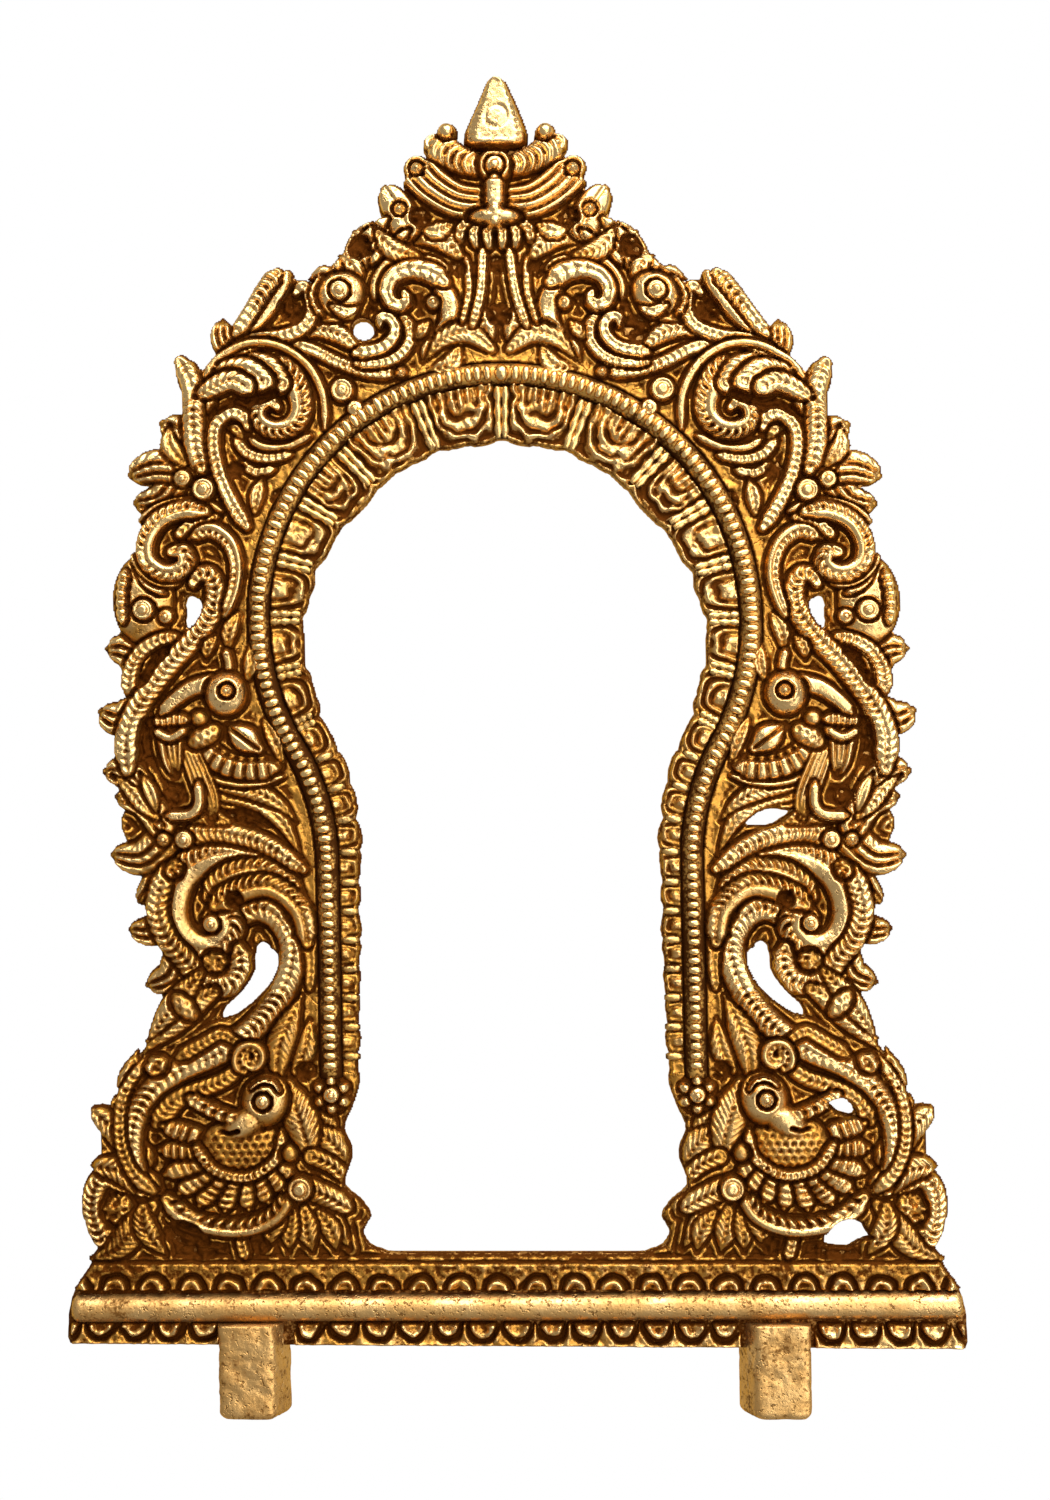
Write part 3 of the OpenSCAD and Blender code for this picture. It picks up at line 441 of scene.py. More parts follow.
parrot = [
    leaf([(48.4, 91.4), (43.8, 91), (40, 88.4)], 1.6, 1.8),
    leaf([(49, 92.8), (43, 92), (38.4, 88.6), (35.3, 82.6)], 2.2, 2.0),
    leaf([(49.3, 94.6), (43.3, 93.8), (38.8, 91.6), (36, 88.6)], 2.2, 2.1),
    leaf([(41, 105.4), (39, 101.4), (37.9, 97.6)], 1.8, 1.8),
    leaf([(43.9, 112.8), (43.2, 115.4), (43.6, 118.6)], 2.0, 1.9),
    stem([(47.2, 113), (47, 115), (47.6, 117.4)], 1.2, 2.2, 0),
    stem([(37.9, 96.2), (42.5, 94.9), (46.5, 94.9), (50.5, 96.3), (53.7, 99.8)], 0.8, 2.0, 0),
    band([(39.5, 97.8), (43.1, 97.4), (46.9, 98), (50.1, 99.8), (52.2, 102)], 4.2, 2.5, 1.9, (0.7,)),
    striped([(53.8, 100.6), (52.1, 96.6), (50.6, 92.6), (50, 89.2)], (3.4, 4.8), 2.6,
            (-0.6, -0.2, 0.2, 0.6), "feather"),
    striped([(57, 103), (56.7, 99.6), (56.1, 96.2)], (4.8, 3.0), 2.5, (-0.5, -0.1, 0.3), "feather"),
    stem([(52.1, 95), (52, 91.6), (53.6, 89.8), (57.4, 89.6)], 1.4, 2.8, 0),
    dome((51.2, 102.8), 3.2, 2.0, 2.5, -30, 0.5),
    dome((52, 105.8), 1.6, 1.5, 2.0),
    band([(54.2, 105.6), (56.8, 105.6), (59.4, 105.2)], 2.4, 2.8, 1.0),
    stem([(54.2, 104), (56.8, 102.6), (59.4, 103.8)], 1.2, 2.9, 0),
    stem([(49.3, 111.8), (53.1, 111), (56.3, 108.8), (58.3, 106.8)], (2.5, 1.7), 2.9, 0),
    strip(curve([(42, 100.8), (44.7, 102.8), (47.4, 104.8)], 24), 4.6, 3.0, "leaf", 0, 1, lines=(0.0,)),
    dome((47.5, 110), 3.7, 3.9, 3.9),
    eye((47.2, 110.5), 1.3, 4.4),
]
middle_stem = [
    stem([(53, 129), (52, 130.4), (50.2, 130.2), (49.3, 128), (49.5, 125.2), (50.9, 122.2), (53.4, 119),
          (56.8, 115.4), (60.1, 111.2), (62.7, 107.2), (64.2, 103), (64.1, 97.4)], (2.4, 3.2), 2.9, 0.26),
    stem([(56.3, 119.8), (59.4, 119), (62, 117.2), (63.6, 114.4), (64.1, 110.6)], (1.8, 2.2),
         2.5, 0.24, 1.2),
    leaf([(45.7, 123.4), (47.1, 120.4), (47.2, 117.2)], 2.0, 1.9),
    leaf([(49.5, 119.6), (50.7, 118), (51, 115.8)], 1.7, 1.9),
    leaf([(59.2, 89.2), (61.8, 91.4), (63.9, 94), (66.9, 96.6)], 1.8, 2.2),
    leaf([(59.4, 90.6), (60.3, 93.6), (62.1, 96.8)], 1.7, 2.2, 0),
]
middle_scroll = [
    stem([(48.2, 141.2), (51.2, 142.6), (55.2, 143), (59.2, 141.9), (62, 139.6)], 1.0, 2.0, 0),
    stem([(55.6, 129), (59, 129), (61.6, 130.8), (63.3, 133.6)], 1.0, 2.0, 0),
    scroll(curve([(47.7, 123.6), (46, 128.2), (45.7, 132.4), (47.1, 136), (50.1, 138), (53.7, 137.2)]),
           (1.4, 2.0), 2.6, outer=-1),
    lobe([(55.3, 137.4), (52.2, 140), (48.6, 140.2)], 1.6, 2.6),
    scroll(curve([(51, 141.2), (54.8, 141.4), (58.8, 139.6), (60.9, 136.2), (60.7, 132.8), (58.4, 130.9),
                  (55.8, 130.9), (54.2, 132.5), (54.8, 134.2), (56.6, 134.3)]), (2.2, 2.1), 3.2),
    eye((51.3, 144.9), 2.1, 3.2),
    eye((54.9, 146.8), 1.6, 2.8),
]
makara_bud = [
    dome((61.6, 126), 5.2, 7.8, 2.5),
    band([(64.9, 122.4), (65.1, 126.6), (64.4, 130.8)], 2.2, 3.1, 1.6),
    stem([(57.8, 127.2), (60.6, 128.6), (62.6, 131.8)], 1.0, 3.0, 0),
    eye((57.7, 123.3), 1.4, 2.8),
    eye((61.4, 124.4), 2.0, 3.7),
]
upper_scroll = [
    stem([(30.2, 155), (30.5, 160.8), (33.2, 166), (38, 169.3), (43.2, 169.6), (48.2, 167.2),
          (51.3, 163.6)], 1.2, 2.0, 0),
    stem([(32.8, 153.8), (37, 151.9), (41, 152), (43.4, 153.4)], 1.1, 1.9, 0),
    stem([(36.3, 150.6), (40.3, 150), (43.9, 151), (45.8, 153.4)], (1.2, 1.5), 2.1, 0.2, 1.2),
    stem([(39.3, 148.2), (42.3, 147.7), (44.9, 149.2)], 1.2, 1.9, 0.2, 1.2),
    leaf([(42.6, 141), (42.2, 144), (41.3, 147)], 1.9, 1.9),
    stem([(51.7, 148.4), (52.8, 152.6), (53, 157.4), (52.9, 161), (53.5, 164), (54.8, 166.6)], (3.0, 2.6),
         2.8, 0.26),
    stem([(43.9, 138.4), (46.2, 142), (48.5, 147), (49.6, 152), (49.2, 155.6), (47, 157.8), (44.6, 157.2),
          (43.8, 155.4)], (2.0, 1.7), 2.6, 0.18, 1.2),
    leaf([(44.8, 153.8), (46, 155.2), (47.8, 155.4)], 1.3, 1.9),
    scroll(curve([(39.6, 166), (36.5, 164.4), (34.7, 161.2), (34.4, 157.8), (36.2, 155.4), (39.2, 154.9),
                  (41.6, 156.4), (41.5, 158.8), (39.7, 159.6), (38.4, 158.6)]), (3.2, 1.5), 3.2, outer=-1),
    lobe([(37.7, 162.6), (39.6, 165.6), (43.6, 167.2)], 3.0, 3.1, 0.2),
    lobe([(40.7, 162.9), (43.6, 165.2), (49, 164.9)], 3.4, 3.1, 0.2),
    lobe([(43.9, 162.3), (46.9, 163.3), (52.3, 160.6)], 3.0, 3.0, 0.2),
    eye((27.1, 161.5), 2.2, 2.8),
    eye((24.9, 158.4), 1.5, 2.6),
    leaf([(54.7, 149.4), (57, 152.4), (57, 156)], 2.4, 2.0),
]
upper_stem = [
    stem([(17.9, 164.4), (22.6, 164.6), (27.6, 166.2), (32, 168.4), (36.6, 169.6)], 1.7, 2.3, 0.24, 1.2),
    eye((17, 164.6), 1.1, 2.4),
    leaf([(24.4, 168.6), (27.2, 170.9), (30.7, 171.7), (34.4, 170.4)], 2.3, 2.6),
    stem([(34.2, 178), (33, 179.1), (31.8, 178), (31.6, 175.2), (32.9, 172.4), (36.6, 170.8), (41.6, 170),
          (46.6, 168)], (1.6, 2.2), 2.6, 0.2, 1.3),
    leaf([(27.8, 179.4), (29.2, 181.2), (31.8, 180.6)], 2.2, 2.0),
    leaf([(25.7, 175.8), (28.3, 174.6), (30.5, 172.8)], 2.6, 2.0),
    leaf([(24.4, 179.4), (24.2, 182.4), (26.5, 184.6)], 2.4, 2.0),
    stem([(29.4, 180.6), (31.2, 177.6), (30.1, 174.4)], 1.3, 2.6, 0.2, 1.3),
    dome((26.6, 178), 4.3, 3.8, 2.9, -30),
    leaf([(28.3, 175.8), (25.7, 174.6), (23.3, 176)], 1.6, 3.0, 0.1),
    eye((26.7, 178.4), 1.8, 3.6),
]
crown_scroll = [
    stem([(20.9, 177.2), (20.7, 180), (19, 182.6), (16.5, 184.5), (13.5, 184.7)], 1.1, 2.1, 0),
    stem([(8.4, 182), (9.8, 183.3), (11.9, 184)], 1.0, 2.0, 0.24, 1.0),
    stem([(14.5, 188.6), (16.9, 186.8), (19.5, 185), (21, 183.2)], 1.2, 2.2, 0),
    leaf([(13.5, 184.4), (17.5, 185.6), (20.5, 189.6)], 2.6, 2.1),
    stem([(24.6, 166), (19.8, 166.2), (16.9, 167.6), (15.2, 170), (15.3, 172.4), (16.5, 174.2)],
         1.5, 2.4, 0.24, 1.1),
    stem([(24.6, 167.8), (20.4, 168.5), (18.2, 170.2), (17.6, 172.2), (18.6, 173.8), (20, 173.7),
          (20.3, 172.5)], (1.9, 1.4), 2.7, 0.12, 1.4),
    leaf([(12.1, 173), (13.3, 171.6), (14.4, 170)], 1.6, 2.0),
    leaf([(10.6, 170), (12.2, 168.6), (13.4, 166.4)], 1.8, 2.0),
    stem([(10.2, 170.2), (8.5, 173), (8.4, 176.4), (9.8, 178.8)], (2.1, 2.8), 3.0, 0),
    eye((11, 176.4), 1.3, 2.8),
    stem([(9, 179.8), (11.2, 181.4), (14.4, 182), (17.4, 180.9), (18.7, 178.6), (18.2, 176.6),
          (16.7, 175.8), (15.5, 176.7), (15.8, 178)], (3.0, 1.6), 3.2, 0.07, 1.9),
]
edge_leaves = [edge_leaf(*row) for row in (
    ((56.5, 66), (61.6, 61.0), 4, 0.2), ((58.3, 72.5), (64.4, 70.2), 3.8, 0.2),
    ((59, 82.5), (62.8, 75), 3.4, 0.1), ((58.3, 85.5), (66.8, 82.8), 4.6, 0.2),
    ((58.6, 88), (66, 92.6), 4, -0.2), ((62.2, 94), (68.0, 96.9), 4.2, -0.2),
    ((63, 107), (68.8, 107.2), 4.4, 0.2), ((62.4, 115), (67.7, 117.8), 4.2, -0.2),
    ((56.2, 146.8), (62.8, 142.6), 4, 0.2), ((55.4, 148.6), (63.6, 147.4), 4.4, -0.1),
    ((53.6, 150), (58.2, 156.2), 4.6, -0.2), ((51.6, 160), (55, 165.2), 3.8, -0.1),
    ((45.4, 167.6), (47.2, 173.4), 3.4, 0.15), ((23.8, 183.6), (19.3, 189.6), 3.6, 0.1))]
edge_leaves += [
    stem([(45, 169.8), (40.9, 173.2), (37.7, 177), (35.6, 181.2)], (1.4, 2.0), 2.6, 0),
    stem([(44.9, 171.2), (42.1, 174.8), (39.6, 178.4), (37.2, 181.4)], (2.0, 2.4), 2.7, 0.3, 1.5),
]
mask_ear = [
    leaf([(14.8, 187.8), (19.4, 187), (23.8, 188.6)], 3.4, 2.0),
    lobe([(15, 189.6), (16.6, 193), (18.6, 196)], 4.2, 2.6, 0),
    eye((16, 192.2), 1.2, 3.2),
    stem([(18.2, 190.6), (21.4, 187.8), (25.2, 184), (28.8, 180.4)], 1.5, 2.3, 0),
]
mask_half = [
    leaf([(1.5, 168.6), (5.5, 171.4), (9.5, 170.4), (12.8, 166.8)], 2.6, 2.0),
    stem([(2.2, 185.4), (2.9, 178.4), (4.6, 172.4)], 1.3, 2.2, 0.24, 1.1),
    stem([(5.2, 184.2), (4.9, 178.6), (6.4, 173)], 1.0, 2.0, 0.24, 1.1),
    leaf([(6.4, 184.6), (9.2, 187.4), (13.6, 186.6)], 3.0, 2.3),
    leaf([(7.4, 189.6), (10, 188.4), (12.6, 189.2)], 2.2, 2.2),
    lobe([(1.0, 190.2), (1.3, 188), (1.0, 185.4)], 1.5, 2.6),
    lobe([(2.8, 190.2), (3.6, 188), (3.2, 185.6)], 1.5, 2.6),
    lobe([(4.4, 190.4), (5.8, 188.6), (5.8, 186.4)], 1.5, 2.5),
    striped([(1.8, 193.2), (6.4, 193.8), (10.6, 196.4), (13.2, 199.4)], (5.6, 6.8), 3.0, (-0.55, 0.0, 0.5)),
    eye((13.1, 199), 1.2, 3.4),
    strip(curve([(2.0, 199.4), (6, 200.6), (10.4, 203.4)]), (4.0, 5.6), 3.2, "stem", 0.3, 1.5),
    dome((8.3, 205.2), 1.6, 1.6, 3.6),
]
mask_middle = [
    dome((0, 199.5), 3.0, 3.2, 3.5, 45),
    eye((0, 199.5), 1.7, 3.9),
    striped([(0, 191), (0, 194), (0, 197.2)], 3.6, 3.9),
    dome((0, 190.9), 4.5, 1.7, 4.2),
    dome((0, 191.6), 1.7, 2.4, 4.3, soft=True),
    dome((0, 189.9), 1.6, 1.4, 4.3, soft=True),
]


def spire(x, z):
    """Finial: a rounded triangle, flat in front, its half width given at some heights; dotted on its rims."""
    foot, tip = 202.2, 214.5
    half = np.interp(z, [foot, 202.8, 203.6, 205, 207.5, 210, 212.5, 213.8, tip],
                     [1.5, 4.2, 5.2, 5.2, 4.3, 3.2, 2.1, 1.5, 0.3])
    r = np.abs(x) / half
    body = 3.1 * np.sqrt(np.clip(1 - r ** 5, 0, 1)) * np.clip((z - foot) * 0.9, 0.4, 1)
    body = body - 0.25 * dip(np.hypot(x, z - 207.6) - 1.8, 0.22)
    body = body - 0.3 * dip(r - 0.78, 0.1) * (np.cos(2 * np.pi * z / 1.1) > 0)
    near = (r < 1.1) & (z > foot - 0.4) & (z < tip + 0.1)
    return stamped((r < 1) & (z > foot) & (z < tip), near, np.maximum(body, THIN))


finial = [(np.array([-6.6, 201.6]), np.array([6.6, 215]), spire, False)]
crown_leaves = [
    leaf([(2.2, 169.4), (2.8, 173), (5.4, 176.4)], 2.8, 1.9),
    leaf([(7.2, 168.6), (8.8, 165.8), (12.6, 165.2)], 2.4, 1.8),
]
rosette = [dome((LEG_X, ROSETTE_Z), 3.3, 3.3, 1.5)]
for a in np.arange(PETAL_COUNT) * 2 * math.pi / PETAL_COUNT:
    petal = (LEG_X + 2.2 * math.sin(a), ROSETTE_Z + 2.2 * math.cos(a))
    rosette.append(dome(petal, 1.3, 1.05, 2.3, 90 - math.degrees(a)))
rosette.append(eye((LEG_X, ROSETTE_Z), 1.5, 3.0))

# Dark round or long recesses between the ornaments
pits = [pit(*row) for row in (
    ((35.2, 46), 1.7), ((46.7, 75.5), 1.5), ((56.4, 93.2), 2.0), ((35.3, 175.2), 2.0), ((12.5, 191), 1.8),
    ((23, 186), 2.1), ((6.6, 182.3), 1.5), ((0, 174.4), 2.0), ((0, 183), 1.5), ((45.9, 148.2), 1.5),
    ((38.6, 143.4), 1.4), ((13.5, 177), 1.2), ((21.3, 175.8), 1.0))]
pits += [
    dome((43.5, 16.6), 1.8, 1.6, 1),
    slit([(49.6, 16), (53.2, 15.2), (57.2, 15.6)], 1.4),
    dome((23, 172.1), 2.4, 2.3, 1),
    slit([(60.9, 98.4), (61.2, 102), (60.6, 105.6)], 1.5),
    slit([(57.4, 118), (59.8, 115.4), (61.9, 111.8)], 1.2),
    slit([(38.7, 161.2), (42.5, 159.9), (46.5, 159.7), (49.8, 158)], 1.2),
    slit([(46.6, 36.5), (48.2, 36), (49.4, 36.3)], 0.3),
]

# Holes through the plate; two that are open on the right are only pits on the left
bean = slit([(42.4, 66.9), (42, 63.6), (44.5, 59.6), (49.2, 55.7)], (3.4, 1.7))
upper_slit = slit([(53.6, 126.2), (53.2, 124.4), (54.2, 121.6)], (2.6, 1.3))
lower_slit = leaf([(40.8, 88.3), (44.6, 89.4), (48.6, 90.4)], 2.0, 1, 0)
tail_hole = leaf([(52.8, 17.2), (56.2, 18.5), (59.6, 17.8)], 3.4, 1, 0)
beak_hole = leaf([(53.2, 40.3), (55.2, 39.7), (57.2, 38.3)], 2.0, 1, 0)
crown_hole = dome((23.2, 172), 2.1, 2.0, 1)
open_right = [bean, upper_slit, lower_slit, tail_hole, beak_hole]
open_left = [bean, upper_slit, crown_hole]
pits_left = [lower_slit, tail_hole]

# Outlines of the right half: the plate from its foot up to the mask, and the opening beside the legs
foot_edge = [(0, 0.35), (FOOT_X + 0.2, 0.35), (FOOT_X - 0.2, 6)]
plate_edge = [
    (75, 9), (72, 13.5), (68.5, 20), (68, 30), (68, 36), (65.5, 41.5), (60, 52), (56.5, 62), (58.5, 72),
    (60.5, 80), (64.4, 85), (65.4, 89), (62.5, 94), (63.5, 100), (63.5, 108), (63, 115), (62.5, 122),
    (61.8, 134), (60.4, 141), (57.5, 149), (53.5, 157), (49.5, 164), (44.5, 170), (41.5, 175.5), (36.8, 181),
    (31.8, 179.6), (26.8, 183.2), (24.6, 186.6), (20, 189.4), (16, 194), (12.5, 200)]
leg_edge = [
    (26.4, 45), (27, 42), (28, 39.4), (29.3, 36), (28, 32.6), (28.3, 30.4), (29.4, 26.4), (26.8, 24),
    (25, 21.4), (26.3, 18.6), (25, 16.2), (21.6, 14.9)]


# The whole relief on one grid

def soften(a):
    """Each cell blended with its four neighbours."""
    for axis in (0, 1):
        a = 0.25 * np.roll(a, 1, axis) + 0.5 * a + 0.25 * np.roll(a, -1, axis)
    return a


def box(lo, hi):
    """Cells of the grid between two corners of the plan."""
    i0, i1 = np.searchsorted(XS, [lo[0], hi[0]])
    j0, j1 = np.searchsorted(ZS, [lo[1], hi[1]])
    return np.s_[j0:j1, i0:i1]


def lay(shapes, high, owner, moat, number):
    """Lay shapes on the grid one over another: each stands on what lies under it, and sinks a moat round it."""
    for lo, hi, field, soft in shapes:
        cut = box(lo, hi)
        under = high[cut]
        if under.size:
            f = field(PLAN_X[cut], PLAN_Z[cut])
            if soft:
                f = np.where(f > under, f, OUTSIDE)
            here, near, low = f > COVERED, f > IN_MOAT + COVERED, UNDER * under
            new = np.where(here, np.maximum(f, low), np.where(near, low, under))
            owner[cut] = np.where(here, number, owner[cut])
            moat[cut] = np.where(here, 0.0, np.where(near, 1.0, moat[cut]))
            high[cut] = np.where(~here & (under < 0), under, new)


def marked(shapes):
    """Places of the grid that shapes of the right half cover."""
    cover = np.full(PLAN_X.shape, LOW)
    lay(shapes, cover, np.zeros(PLAN_X.shape, int), np.zeros(PLAN_X.shape), 0)
    return cover > 0


def blur(a, size):
    """Gaussian blur of a grid by its spectrum; size in mm."""
    f0 = np.fft.fftfreq(a.shape[0], GRID)[:, None]
    f1 = np.fft.rfftfreq(a.shape[1], GRID)[None, :]
    return np.fft.irfft2(np.fft.rfft2(a) * np.exp(-2 * (np.pi * size) ** 2 * (f0 ** 2 + f1 ** 2)), a.shape)


def distance(mask):
    """Distance in mm from each place to the nearest marked one, passed on from cell to cell."""
    far, steps = 99.0, 22
    d = np.where(mask, 0.0, far)
    for _ in range(steps):
        for shift in NEIGHBOURS + ((1, 1), (1, -1), (-1, 1), (-1, -1)):
            d = np.minimum(d, np.roll(d, shift, (0, 1)) + GRID * math.hypot(*shift))
    return d


def passed_on(owner, where, steps):
    """Owners handed from cell to cell into the marked places that have none."""
    for _ in range(steps):
        for shift in NEIGHBOURS:
            owner = np.where((owner < 0) & where, np.roll(owner, shift, (0, 1)), owner)
    return owner


def within(points):
    """Places of the grid inside a closed outline, by counting the sides that each crosses to the right."""
    p = np.asarray(points)
    cut = box(p.min(0) - 1, p.max(0) + 1)
    x, z = PLAN_X[cut], PLAN_Z[cut]
    odd = np.zeros(x.shape, bool)
    for (ax, az), (bx, bz) in zip(p, np.roll(p, -1, 0)):
        if az != bz:
            odd ^= ((z < az) != (z < bz)) & (x < ax + (z - az) * (bx - ax) / (bz - az))
    out = np.zeros(PLAN_X.shape, bool)
    out[cut] = odd
    return out


def rim(u):
    """Depth of the ledge at its rim: each petal swells a little beyond it, and the bars leave small notches."""
    i = np.clip(np.searchsorted(STOPS, u, side="right") - 1, 0, len(STOPS) - 2)
    t = (u - STOPS[i]) / (STOPS[i + 1] - STOPS[i])
    swell = np.interp(u, [0, 28, 36, 44, 54, 70, 84, 96, 110, ROW_L],
                      [-0.1, 0.1, 1.5, 0.8, 0.4, 0.0, 0.9, 0.3, -0.3, -1.2])
    return ledge(u) + swell + 0.6 * (1 - np.abs(2 * t - 1) ** 4) - 0.3 + 0.5 * grain(u + 100, u * 0, 2.3, 24)


def both(points):
    """Outline of the whole from that of its right half, which runs from the axis round to the axis."""
    p = np.asarray(points)
    return np.vstack([p, (p * [-1, 1])[::-1]])


def lotus(u0, u1):
    """Petal that hangs below the moulding: nested square-cornered U ridges by a distance of the fourth power,
    strokes in its heart. On the sides it is a block with one line."""
    u = (u0 + u1) / 2
    top, foot = inside(u, MOULDING_W / 2 + 0.3), inside(u, ledge(u) - 0.1)
    length = np.hypot(*(foot - top))
    way = (foot - top) / length
    half = (u1 - u0) * 0.476 - np.interp(u1 - u0, [6, 10, 12, 16], [0.75, 1.8, 1.7, 1.6])
    taper = 0.14 if u < MAIN_L else 0.0
    large = half > 3.5
    stroke = 1.4

    def field(x, z):
        a = ((x - top[0]) * way[0] + (z - top[1]) * way[1]) / length
        b = ((x - top[0]) * way[1] - (z - top[1]) * way[0]) / (half * (1 - taper * np.clip(a, 0, 1)))
        level = (b ** 4 + np.clip(a, 0, 2) ** 4) ** 0.25 + 0.16 * grain(x, z, 1.5, 27)
        body = 1.6 - 0.35 * level + 0.6 * grain(x, z, 1.1, 23) + 0.3 * grain(x, z, 0.6, 26)
        for line in ((0.47, 0.76) if large else (0.62,)):
            body = body - (0.9 + 0.8 * grain(x, z, 2.3, 25)) * dip((level - line) * half, 0.3)
        heart = np.clip((0.42 - level) * 12, 0, 1) * large
        body = body - heart * 0.7 * dip(((b * half / stroke) % 1 - 0.5) * stroke, 0.25)
        body = body * (1.0 if large else 0.85) * np.clip((1 - level) * 9, 0.35, 1)
        below = a > -0.04
        return stamped((level < 1) & below, (level < 1.12) & below, np.maximum(body, 0.1))

    return around(top, max(length, half) + 1, field)


def frieze(z0, z1, pitch, up, shift, gap):
    """Row of scallops: a sunk arch about a centre on one edge, repeated every pitch, with a raised crescent in
    each."""
    arch, crescent = 2.45, 1.5

    def field(x, z):
        u = ((x / pitch + shift + 0.5) % 1 - 0.5) * pitch
        r = np.hypot(u, z - (z0 if up else z1))
        r = r + 0.6 * grain(x, z, 1.6, 20)
        body = 1.2 - 0.7 * dip(r - arch, 0.42) + 0.55 * dip(r - crescent, 0.45) - 0.35 * dip(r, 0.7)
        body = body + 0.45 * grain(x, z, 0.7, 21) + 0.4 * grain(x, z, 2.0, 22)
        clear = (np.abs(np.abs(x) - TENON_X) > gap) & (np.abs(x) < FOOT_X - 0.5 - 0.75 * np.maximum(z - 8, 0))
        body = np.where(np.abs(r - arch) < 0.33, IN_MOAT, np.maximum(body, 0.1))
        return np.where((z > z0) & (z < z1) & clear, body, OUTSIDE)

    return np.array([-FOOT_X + 0.5, z0 - 0.2]), np.array([FOOT_X - 0.5, z1 + 0.2]), field, False


def mirror(shape):
    """The same shape on the other side of the axis."""
    lo, hi, field, soft = shape
    return np.array([-hi[0], lo[1]]), np.array([-lo[0], hi[1]]), lambda x, z: field(-x, z), soft


petals = [lotus(a, b) for a, b in zip(STOPS[:-1], STOPS[1:])]

# Laid from the lowest to the highest; those of the half come twice, the others stand on the axis
HALF = {"edge_leaves": edge_leaves, "mask_ear": mask_ear, "peacock_tail": peacock_tail,
        "upper_stem": upper_stem, "makara_bud": makara_bud, "lower_stem": lower_stem,
        "middle_stem": middle_stem, "crown_scroll": crown_scroll, "upper_scroll": upper_scroll,
        "middle_scroll": middle_scroll, "lower_scroll": lower_scroll, "parrot": parrot, "peacock": peacock,
        "rosette": rosette}
WHOLE = {"lotus_petals": petals + [mirror(s) for s in petals],
         "upper_scallops": [frieze(9.0, 13.6, 6.5, True, 0.5, 0.0)],
         "lower_scallops": [frieze(0.3, 3.7, 5.9, False, 0.0, TENON_W / 2)],
         "crown_leaves": crown_leaves + [mirror(s) for s in crown_leaves],
         "mask": [t for s in mask_half for t in (s, mirror(s))] + mask_middle,
         "finial": finial}

high = np.full(PLAN_X.shape, LOW)
owner = np.full(PLAN_X.shape, -1)
moat = np.zeros(PLAN_X.shape)
for number, shapes in enumerate(HALF.values()):
    lay(shapes, high, owner, moat, number)
for layer in (high, owner, moat):
    layer[:, XS < 0] = layer[:, ::-1][:, XS < 0]
for number, shapes in enumerate(WHOLE.values(), len(HALF)):
    lay(shapes, high, owner, moat, number)

row = np.arange(0, ROW_L, 0.5)
lip = inside(row, rim(row))
hole = within(both(np.vstack([[(0, lip[0, 1])], lip, curve(leg_edge, 6)])))
outline = within(both(np.vstack([foot_edge, curve(plate_edge, 4), [(0, 201)]])))
piercing = marked(open_right) | marked(open_left)[:, ::-1]
high[hole | piercing] = LOW
bead_way = bead_path(np.linspace(0, ROW_L + 1.5, 500))[0]
off = reach(np.abs(PLAN_X[KEYHOLE_BOX]), PLAN_Z[KEYHOLE_BOX], bead_way)[1]
moulding_top = np.full(PLAN_X.shape, -1.0)
moulding_top[KEYHOLE_BOX] = np.where(off < MOULDING_W / 2, MOULDING_H, -1.0)
solid = (outline | (high > 0)) & ~hole & ~piercing

# Between the shapes the wax is drawn into low strands along them, plain beside the moulding
away = distance(high > 0)
strand = dip(away % 1.3 - 0.8, 0.34) * (1 + 1.1 * skin(PLAN_X, PLAN_Z, 0.9, 34))
filling = 0.2 + 0.22 * blur(np.maximum(high, 0), 1.2) + 0.6 * strand + 0.7 * skin(PLAN_X, PLAN_Z, 2.1, 35)
plain = np.clip(5 * blur((moulding_top > 0).astype(float), 1.5), 0, 1)
filling = filling + (0.6 + 0.35 * skin(PLAN_X, PLAN_Z, 1.3, 36) - filling) * plain
inner = np.clip(4 * blur(solid.astype(float), 0.7) - 2.6, 0, 1)
moat = blur(moat, 0.13) * inner
open_ground = solid & (moulding_top < 0) & (PLAN_Z > FOOT_TOP)

# The strands go to the nearest ornament
spread = passed_on(np.where(open_ground | (high > 0), owner, -1), open_ground, 18)
filled = np.maximum(high, np.maximum(filling, THIN) * (1 - 0.85 * moat))
high = np.where(open_ground & (spread >= 0), filled, high)
sunk = marked(pits)
sunk = sunk | sunk[:, ::-1] | marked(pits_left)[:, ::-1]
sunk = blur((sunk & ~piercing).astype(float), 0.14)
floor = np.minimum(high, 0.3 + 1.6 * skin(PLAN_X, PLAN_Z, 0.8, 37))
high = np.where(high > 0, high + (floor - high) * sunk, high)
moat = np.maximum(moat, 0.85 * sunk)
high = soften(high)
high = np.where(high > 0, high + SHARPEN * (high - blur(high, 0.35)), high)
ground = np.where(solid, np.maximum(np.maximum(high, moulding_top), 0), 0)
shade, wide = blur(ground, 0.6), blur(ground, 3.2)


# Meshes

